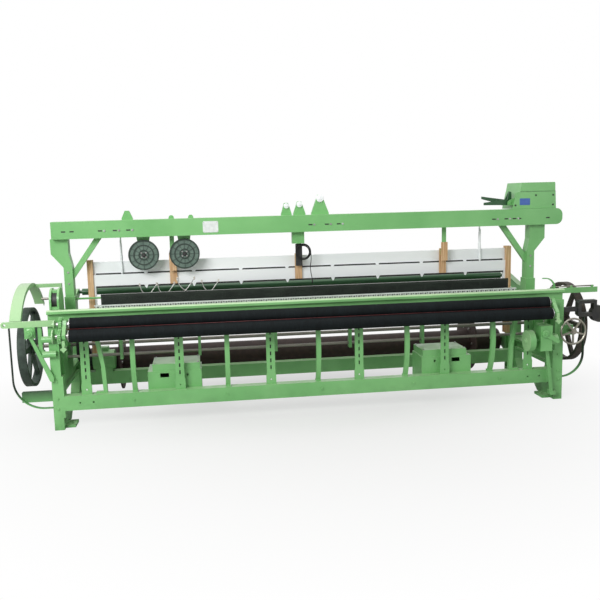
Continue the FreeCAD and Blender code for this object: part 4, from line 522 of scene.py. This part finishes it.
def ring(centre, radius, count, direction, turn=0.0):
    """Places evenly round a circle that faces along X."""
    spots = []
    for number in range(count):
        angle = turn + 2 * math.pi * number / count
        place = (centre[0], centre[1] + radius * math.cos(angle), centre[2] + radius * math.sin(angle))
        spots.append((place, direction))
    return spots


def mirrored_spots(spots):
    """The same places at the loom's other end."""
    twins = [((-x, y, z), (-dx, dy, dz)) for (x, y, z), (dx, dy, dz) in spots]
    return spots + twins


def fasten_frame():
    """Painted bolt heads on the castings, black ones on the dobby, bright screws on the beams."""
    girt = [((x, FRAME_FACE, 0.226), FRONT) for x in GIRT_BOLTS]
    legs = [((2.210, FRAME_FACE, z), FRONT) for z in (0.185, 0.270, 0.420, 0.860)]
    bosses = ring((2.264, *MAIN_SHAFT), 0.047, 4, RIGHT, 0.6)
    bosses += ring((2.264, -0.250, 0.565), 0.034, 3, RIGHT, 0.5)
    bearings = [((2.240, 0.590, z), RIGHT) for z in (0.255, 0.345)]
    rests = [((2.210, y, 0.960), UP) for y in (0.220, 0.250)]
    castings = girt + mirrored_spots(legs + bosses + bearings + rests)
    grown("casting_bolts", castings, BOLT_HEADS, GREEN, "frame", Radius=0.010, Height=0.008)
    beam = [((x + 0.036, -0.150, SLOT_HEIGHT), FRONT) for x in SCREWED_SLOTS]
    corners = ((1.96, 1.765), (2.33, 1.765), (2.16, 1.855), (2.33, 1.855))
    dobby = [((x, -0.1325, z), FRONT) for x, z in corners]
    lids = [((x, y, 0.500), UP) for x in (-1.04, -1.41, 0.98, 1.36) for y in (-0.435, -0.185)]
    posts = [((x, -0.090, z), FRONT) for x in (-2.1375, 2.1375) for z in (1.185, 1.285)]
    guide = [((x, -0.350, 0.964), UP) for x in (2.30, 2.55)]
    grown("dobby_screws", dobby, BOLT_HEADS, BLACK, "frame", Radius=0.0065, Height=0.004)
    bright = beam + lids + posts + guide
    grown("beam_screws", bright, BOLT_HEADS, STEEL, "frame", Radius=0.007, Height=0.006)


SHEAVES = (("first", -1.480, "sheave_one"), ("second", -1.120, "sheave_two"))
SHEAVE_HEIGHT = 1.415
STUD_OFFSETS = (-0.0195, 0.0195)


def fasten_sheaves():
    """A black nut on each sheave's axle, and four bright studs that turn with the sheave."""
    hubs = [((x, -0.0785, SHEAVE_HEIGHT), FRONT) for _, x, _ in SHEAVES]
    grown("sheave_axle_nuts", hubs, BOLT_HEADS, BLACK, "frame", Radius=0.013, Height=0.012)
    for name, x, body in SHEAVES:
        studs = []
        for across in STUD_OFFSETS:
            studs += [((x + across, -0.0672, SHEAVE_HEIGHT + up), FRONT) for up in STUD_OFFSETS]
        grown(f"{name}_sheave_studs", studs, BOLT_HEADS, STEEL, body, Radius=0.0055, Height=0.010)


fasten_frame()
fasten_sheaves()
flange_bolts = ring((1.815, *WARP_BEAM), 0.165, 6, RIGHT) + ring((1.800, *WARP_BEAM), 0.165, 6, LEFT)
grown("warp_flange_bolts", mirrored_spots(flange_bolts), BOLT_HEADS, STEEL, "warp_beam_set",
      Radius=0.011, Height=0.009)
hub_bolts = ring((2.540, *MAIN_SHAFT), 0.042, 6, RIGHT)
grown("wheel_hub_bolts", mirrored_spots(hub_bolts), BOLT_HEADS, STEEL, "main_shaft_set",
      Radius=0.009, Height=0.007)


def dent_spots():
    """The foot of every dent in the reed's bays, in the middle of its thin wall."""
    bays, dents, half, rib = 14, 30, 1.850, 0.016
    pitch = (2 * half - rib) / bays
    spots = []
    for bay in range(bays):
        start = -half + rib + pitch * bay
        for dent in range(dents):
            spots.append(((start + (pitch - rib) * (dent + 0.5) / dents, -0.242, 0.997), UP))
    return spots


grown("reed_dents", dent_spots(), REED_DENTS, OWN_FINISHES["reed"], "sley",
      Width=0.0022, Depth=0.0125, Height=0.078)


def kept(name, form, material, body):
    """A finished mesh as a piece that rides on a body."""
    mesh = bpy.data.meshes.new(name)
    form.to_mesh(mesh)
    form.free()
    mesh.materials.append(material)
    piece = bpy.data.objects.new(name, mesh)
    bpy.context.scene.collection.objects.link(piece)
    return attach(piece, body)


def circle(form, middle, side, over, radius, sides):
    """A ring of new corners round a middle, in the plane of two directions."""
    angles = [2 * math.pi * step / sides for step in range(sides)]
    return [form.verts.new(middle + radius * (side * math.cos(a) + over * math.sin(a))) for a in angles]


def skin(form, rings):
    """Closed walls over a row of equal rings, with a flat end at each side."""
    sides = len(rings[0])
    for low, high in zip(rings, rings[1:]):
        for step in range(sides):
            after = (step + 1) % sides
            form.faces.new((low[step], low[after], high[after], high[step]))
    form.faces.new(rings[0])
    form.faces.new(list(reversed(rings[-1])))
    bmesh.ops.recalc_face_normals(form, faces=form.faces)


def add_box(form, middle, size):
    """A box round a middle."""
    place = Matrix.Translation(middle) @ Matrix.Diagonal((*size, 1))
    bmesh.ops.create_cube(form, size=1.0, matrix=place)


def rounded(x, z, width, height, radius, steps=5):
    """The corners of a rounded rectangle round a middle."""
    corners = []
    for quarter, (cx, cz) in enumerate(((1, 1), (-1, 1), (-1, -1), (1, -1))):
        for step in range(steps + 1):
            angle = math.pi / 2 * (quarter + step / steps)
            corners.append((
                x + cx * (width / 2 - radius) + radius * math.cos(angle),
                z + cz * (height / 2 - radius) + radius * math.sin(angle),
            ))
    return corners


def bar(name, corners, depth, material, body):
    """A flat bar: an outline in the XZ plane with a bevelled edge, between two depths."""
    form = bmesh.new()
    near, far = depth
    ring_front = [form.verts.new((x, near, z)) for x, z in corners]
    ring_back = [form.verts.new((x, far, z)) for x, z in corners]
    form.faces.new(ring_front)
    form.faces.new(list(reversed(ring_back)))
    for index in range(len(corners)):
        after = (index + 1) % len(corners)
        form.faces.new((ring_front[index], ring_back[index], ring_back[after], ring_front[after]))
    bmesh.ops.recalc_face_normals(form, faces=form.faces)
    bmesh.ops.bevel(form, geom=form.edges[:], offset=min(0.0015, (far - near) * 0.3), segments=2,
                    affect="EDGES", profile=0.7)
    return kept(name, form, material, body)


def tube(name, path, radius, material, body, sides=12):
    """A round bar swept along a path of points with a closed end at each side."""
    form = bmesh.new()
    points = [Vector(point) for point in path]
    rings = []
    for index, point in enumerate(points):
        before, after = points[max(index - 1, 0)], points[min(index + 1, len(points) - 1)]
        along = (after - before).normalized()
        side = along.cross(Vector((0, 0.3, 1))).normalized()
        rings.append(circle(form, point, side, side.cross(along), radius, sides))
    skin(form, rings)
    for face in form.faces:
        face.smooth = len(face.verts) == 4
    return kept(name, form, material, body)


def turned(name, start, axis, profile, material, body, sides=28):
    """A turned piece: radii and reaches along an axis from a starting point."""
    form = bmesh.new()
    along = Vector(axis)
    side = along.orthogonal().normalized()
    over = along.cross(side)
    rings = []
    for radius, reach in profile:
        rings.append(circle(form, Vector(start) + along * reach, side, over, radius, sides))
    skin(form, rings)
    return kept(name, form, material, body)


PLATE = label_plate("etched_aluminium_plate", "#E4E8E6", "#D3D8D6", 0.4, 0.25)
plate_outline = rounded(-0.880, 1.651, 0.136, 0.100, 0.012)
bar("bare_rating_plate", plate_outline, (-0.1525, -0.150), PLATE, "frame")
rivet_spots = [((x, -0.1525, z), FRONT) for x in (-0.938, -0.822) for z in (1.611, 1.691)]
grown("plate_rivets", rivet_spots, RIVETS, STEEL, "frame", Radius=0.0035, Height=0.0018)
BLUE = label_plate("blue_label_film", "#3A5FA8", "#4468AE", 0.35, 0.0)
label_outline = rounded(2.052, 1.797, 0.100, 0.062, 0.006)
bar("blank_blue_label", label_outline, (-0.1342, -0.1327), BLUE, "frame")
for name, low, near in (("front", 1.121, 0.0485), ("rear", 1.236, 0.0685)):
    half, high = 1.926, low + 0.0165
    corners = [(-half, low), (half, low), (half, high), (-half, high)]
    bar(f"{name}_heald_bar", corners, (near, near + 0.006), BLACK, f"{name}_heald")
RED = plain_moulding("red_guide_paint", "#5A1A1D", "#43171A", 0.5)
tube("red_nip_rod", [(-2.075, -0.690, 0.882), (2.075, -0.690, 0.882)], 0.0028, RED, "frame")

# ---------------------------------------------------------------- slots and slats

# black plates set in the portal's slots and the track's tooth slots: painted shade for the dark inside
# each slot
SLOT_SHADE_TREE = box_tree("slot_shade_plates")
portal_slots = [((x, -0.1420, SLOT_HEIGHT), FRONT) for x in PLAIN_SLOTS + SCREWED_SLOTS]
grown("portal_slot_shade_plates", portal_slots, SLOT_SHADE_TREE, BLACK, "frame",
      Width=0.0356, Depth=0.0116, Height=0.0045)
TOOTH_COUNT, TOOTH_PITCH = 86, 0.044
tooth_places = [TOOTH_PITCH * (number - (TOOTH_COUNT - 1) / 2) for number in range(TOOTH_COUNT)]
tooth_slots = [((x, -0.3150, 0.9975), FRONT) for x in tooth_places]
grown("track_tooth_slot_shade", tooth_slots, SLOT_SHADE_TREE, BLACK, "sley", Width=0.014, Depth=0.011, Height=0.0012)
UPRIGHT_COUNT, UPRIGHT_PITCH, UPRIGHT_SHIFT = 6, 0.781, -0.022
for number in range(UPRIGHT_COUNT):
    middle = UPRIGHT_PITCH * (number - (UPRIGHT_COUNT - 1) / 2) + UPRIGHT_SHIFT
    outline = rounded(middle, 0.590, 0.026, 0.372, 0.004)
    bar(f"upright_backing_{number}", outline, (-0.5078, -0.5050), BLACK, "frame")


def wooden_slats():
    """Three beech slats, each with the head of its clamp in front of its upper end."""
    slats = (
        ("left", -1.230, 1.424, BEECH),
        ("middle", -0.080, 1.466, BLACK),
        ("right", 1.310, 1.437, BEECH),
    )
    head_foot = 1.262
    form = bmesh.new()
    for _, place, _, _ in slats:
        add_box(form, (place, 0.032, 1.2575), (0.066, 0.014, 0.235))
    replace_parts(kept("beech_slats", form, BEECH, "frame"), "wooden_slats")
    for name, place, top, finish in slats:
        head = rounded(place, (top + head_foot) / 2, 0.062, top - head_foot, 0.003)
        bar(f"{name}_slat_head", head, (-0.027, -0.0145), finish, "frame")


wooden_slats()

# ---------------------------------------------------------------- turned and bent fittings

bar("dobby_front_sheet", [(1.928, 1.732), (2.362, 1.732), (2.354, 1.8875), (1.972, 1.8875)],
    (-0.1325, -0.1302), GREEN, "frame")
bar("dobby_gasket", [(2.008, 1.8885), (2.3555, 1.8885), (2.3555, 1.8915), (2.008, 1.8915)],
    (-0.1312, -0.1300), BLACK, "frame")
PEAKS = (
    ("first", -0.190, 1.815, 0.024),
    ("second", -0.070, 1.825, 0.026),
    ("tall", 0.120, 1.875, 0.034),
)
for name, x, z, radius in PEAKS:
    cap, nose = radius * 0.8, radius * 0.35
    profile = [(radius, 0.0), (radius, 0.012), (cap, 0.016), (nose, 0.016), (nose, 0.024)]
    turned(f"{name}_peak_bearing", (x, -0.060, z), FRONT, profile, ALUMINIUM, "frame")

ROD_SLEEVE = [
    (0.009, 0.0), (0.0115, 0.006), (0.0115, 0.050), (0.0095, 0.060), (0.0095, 0.150), (0.008, 0.158),
]
for side, x in (("left", -1.690), ("right", 1.690)):
    for name, y, z in (("front", 0.0515, 1.244), ("rear", 0.0715, 1.359)):
        turned(f"{side}_{name}_rod_sleeve", (x, y, z), UP, ROD_SLEEVE, ALUMINIUM, f"{name}_heald")

PULLEY_FACE = (1.867, -0.626, 0.576)
turned("pulley_hub_cap", PULLEY_FACE, LEFT,
       [(0.026, 0.0), (0.026, 0.010), (0.020, 0.014), (0.010, 0.014), (0.010, 0.022)],
       PALE, "take_up_wheel")
turned("pulley_face_ring", PULLEY_FACE, LEFT,
       [(0.093, 0.0), (0.093, 0.003), (0.086, 0.004)], PALE, "take_up_wheel", 40)


def smooth_path(points, steps=6):
    """A smooth line through given points."""
    padded = [points[0]] + points + [points[-1]]
    path = []
    for index in range(len(points) - 1):
        a, b, c, d = (Vector(padded[index + k]) for k in range(4))
        for step in range(steps):
            t = step / steps
            path.append(0.5 * (2 * b + (c - a) * t + (2 * a - 5 * b + 4 * c - d) * t ** 2
                               + (3 * b - a - 3 * c + d) * t ** 3))
    path.append(Vector(points[-1]))
    return [tuple(point) for point in path]


WIRE = bright_steel("polished_finger_wire", "#DADCDA", 0.35)
EYE = plain_moulding("glazed_eye_ceramic", "#D6D0C8", "#B9B2A9", 0.3)
EYE_PROFILE = [(0.0045, 0.0), (0.0085, 0.004), (0.0065, 0.012), (0.0085, 0.022), (0.0045, 0.028)]
WIRE_HEIGHT = 1.045
WIRE_CROSSINGS = ((-1.465, -0.004), (-1.309, -0.004), (-1.130, 0.036), (-0.913, 0.007))
WIRE_BENDS = (
    ((-0.094, -0.062), (-0.058, -0.045), (0.0, 0.0), (0.052, 0.062), (0.086, 0.112)),
    ((-0.065, 0.109), (-0.048, 0.052), (0.0, 0.0), (0.048, -0.026), (0.084, -0.038)),
)


def weft_wires():
    """Polished wires bent in pairs of smooth crossings, on the rail that carries them."""
    ends = [(-2.092, -0.050, WIRE_HEIGHT), (-0.760, -0.050, WIRE_HEIGHT)]
    rail = tube("finger_rail", ends, 0.009, GREEN, "frame", 16)
    for number, (place, rise) in enumerate(WIRE_CROSSINGS):
        lift = max(rise, 0)
        clamp = rounded(place, WIRE_HEIGHT + lift / 2, 0.024, 0.024 + lift, 0.003)
        bar(f"finger_clamp_{number}", clamp, (-0.084, -0.044), FINISHES["dark_steel"], "frame")
        for layer, bend in enumerate(WIRE_BENDS):
            y = -0.0805 + 0.008 * layer
            path = smooth_path([(place + across, y, WIRE_HEIGHT + rise + up) for across, up in bend])
            tube(f"weft_wire_{number}_{layer}", path, 0.0042, WIRE, "frame", 10)
            for end, (x, _, z) in enumerate((path[0], path[-1])):
                eye = f"wire_eye_{number}_{layer}_{end}"
                turned(eye, (x, y, z - 0.014), UP, EYE_PROFILE, EYE, "frame", 16)
    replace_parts(rail, "weft_fingers")


weft_wires()


KNOB_BACK = -0.765


def clamp_knob(name, x, z):
    """A four-lobed hand knob on a stud, at the foot of a roller bracket."""
    stud = [(0.007, 0.0), (0.007, 0.056)]
    turned(name + "_stud", (x, KNOB_BACK + 0.05, z), FRONT, stud, SHAFT, "frame", 12)
    lobes = []
    steps = 32
    for step in range(steps):
        angle = 2 * math.pi * step / steps
        radius = 0.021 + 0.005 * math.cos(4 * angle)
        lobes.append((x + radius * math.cos(angle), z + radius * math.sin(angle)))
    bar(name, lobes, (KNOB_BACK - 0.014, KNOB_BACK), PALE, "frame")
    arm = rounded(x, z + 0.036, 0.024, 0.060, 0.006)
    bar(name + "_arm", arm, (KNOB_BACK + 0.001, KNOB_BACK + 0.013), PALE, "frame")


def left_end_fittings():
    """A boss, a hand knob, ratchet wheels on the rollers and a black core in the gear cover as painted
    shade, at the left end.
    """
    turned("left_cross_boss", (-2.388, -0.584, 0.846), FRONT,
           [(0.038, 0.0), (0.038, 0.016), (0.030, 0.020), (0.030, 0.036), (0.014, 0.036),
            (0.014, 0.048)], GREEN, "frame")
    clamp_knob("left_clamp_knob", -2.092, 0.733)
    for name, y, z, radius in (("lower", -0.713, 0.829, 0.058), ("upper", -0.644, 0.916, 0.034)):
        rim = [(radius, 0.0), (radius, 0.010), (radius - 0.010, 0.011), (radius - 0.012, 0.006)]
        hub = [(0.020, 0.006), (0.018, 0.018), (0.008, 0.018), (0.008, 0.026)]
        wheel = f"{name}_ratchet_wheel"
        turned(wheel, (-2.172, y, z), LEFT, rim + hub, PALE, f"{name}_roller_set", 36)
    # a black cylinder filling the cover's inside: painted shade
    turned("cover_core_painted_shade", (-2.182, -0.315, 1.070), LEFT,
           [(0.088, 0.0), (0.088, 0.056), (0.030, 0.056)], BLACK, "frame", 40)
    bridge = bmesh.new()
    add_box(bridge, (-2.210, -0.315, 1.150), (0.068, 0.100, 0.030))
    kept("cover_bridge", bridge, GREEN, "frame")
    turned("cover_pin", (-2.250, -0.315, 1.090), LEFT,
           [(0.010, 0.0), (0.010, 0.070), (0.013, 0.070), (0.013, 0.078)], SHAFT, "frame")


left_end_fittings()


def right_end_fittings():
    """A hand knob, the take-up lever with its boss, and a fine rod over the guide bar."""
    clamp_knob("right_clamp_knob", 2.090, 0.768)
    turned("take_up_lever_boss", (2.018, -0.680, 0.640), FRONT,
           [(0.034, 0.0), (0.034, 0.014), (0.024, 0.018), (0.012, 0.018), (0.012, 0.030)],
           GREEN, "frame")
    lever = [
        (2.000, 0.652), (2.020, 0.668), (2.138, 0.588), (2.148, 0.562), (2.128, 0.552), (2.012, 0.614),
    ]
    bar("take_up_lever", lever, (-0.694, -0.681), GREEN, "frame")
    tube("guide_rod", [(2.220, -0.350, 1.010), (2.640, -0.350, 1.010)], 0.006, SHAFT, "frame")
    for number, x in enumerate((2.235, 2.420, 2.625)):
        post = rounded(x, 0.992, 0.018, 0.048, 0.003)
        bar(f"guide_rod_post_{number}", post, (-0.358, -0.342), GREEN, "frame")


right_end_fittings()

# ---------------------------------------------------------------- hanging cable

COIL_X, COIL_Y, COIL_Z = -0.042, -0.050, 1.392
CABLE = 0.007
COIL_STRETCH = 1.06
STEPS_A_TURN = 14
# radius and offset along Y at the start of each turn; the last pair is for the quarter turn left over
COIL_LAYERS = (
    (0.056, -0.008), (0.056, 0.0), (0.056, 0.008), (0.064, 0.004), (0.064, -0.004), (0.0715, 0.0),
    (0.0715, 0.0085),
)
FREE_END = [
    (0.0310, -0.0410, 1.350), (0.0300, -0.0400, 1.305), (0.0200, -0.0380, 1.255),
    (0.0260, -0.0400, 1.195), (0.0350, -0.0420, 1.150), (0.0370, -0.0420, 1.128),
]


def cable_route():
    """From the hanging block into six loose turns beside and on each other, then the free end."""
    points = [(-0.0645, COIL_Y - 0.008, 1.4745), (-0.0635, COIL_Y - 0.008, 1.4640)]
    turns = len(COIL_LAYERS) - 1
    for step in range(STEPS_A_TURN * turns + 4):
        position = step / STEPS_A_TURN
        low = min(int(position), turns)
        high = min(low + 1, turns)
        share = min(max((position - low - 0.2) / 0.6, 0.0), 1.0)
        radius = COIL_LAYERS[low][0] * (1 - share) + COIL_LAYERS[high][0] * share
        offset = COIL_LAYERS[low][1] * (1 - share) + COIL_LAYERS[high][1] * share
        angle = math.pi / 2 - 2 * math.pi * position
        wobble = 1 + 0.03 * math.sin(position * 2.1)
        points.append((
            COIL_X + radius * math.cos(angle), COIL_Y + offset,
            COIL_Z + radius * wobble * COIL_STRETCH * math.sin(angle),
        ))
    return points + FREE_END


def hanging_cable():
    """The control cable that hangs coiled below the beam, with a bare connector at its end."""
    route = cable_route()
    curve = bpy.data.curves.new("control_cable", "CURVE")
    curve.dimensions = "3D"
    curve.bevel_depth = CABLE / 2
    curve.bevel_resolution = 3
    curve.resolution_u = 4
    curve.use_fill_caps = True
    spline = curve.splines.new("NURBS")
    spline.points.add(len(route) - 1)
    for point, place in zip(spline.points, route):
        point.co = (*place, 1)
    spline.order_u = 3
    spline.use_endpoint_u = True
    curve.materials.append(FINISHES["belt_rubber"])
    cable = bpy.data.objects.new("control_cable", curve)
    bpy.context.scene.collection.objects.link(cable)
    x, y, z = route[-1]
    plug_path = [(x, y, z + 0.006), (x, y, z), (x, y, z - 0.028)]
    plug = tube("cable_connector", plug_path, 0.006, BLACK, "frame")
    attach(cable, "frame")
    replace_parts(cable, "cable_coil")


hanging_cable()
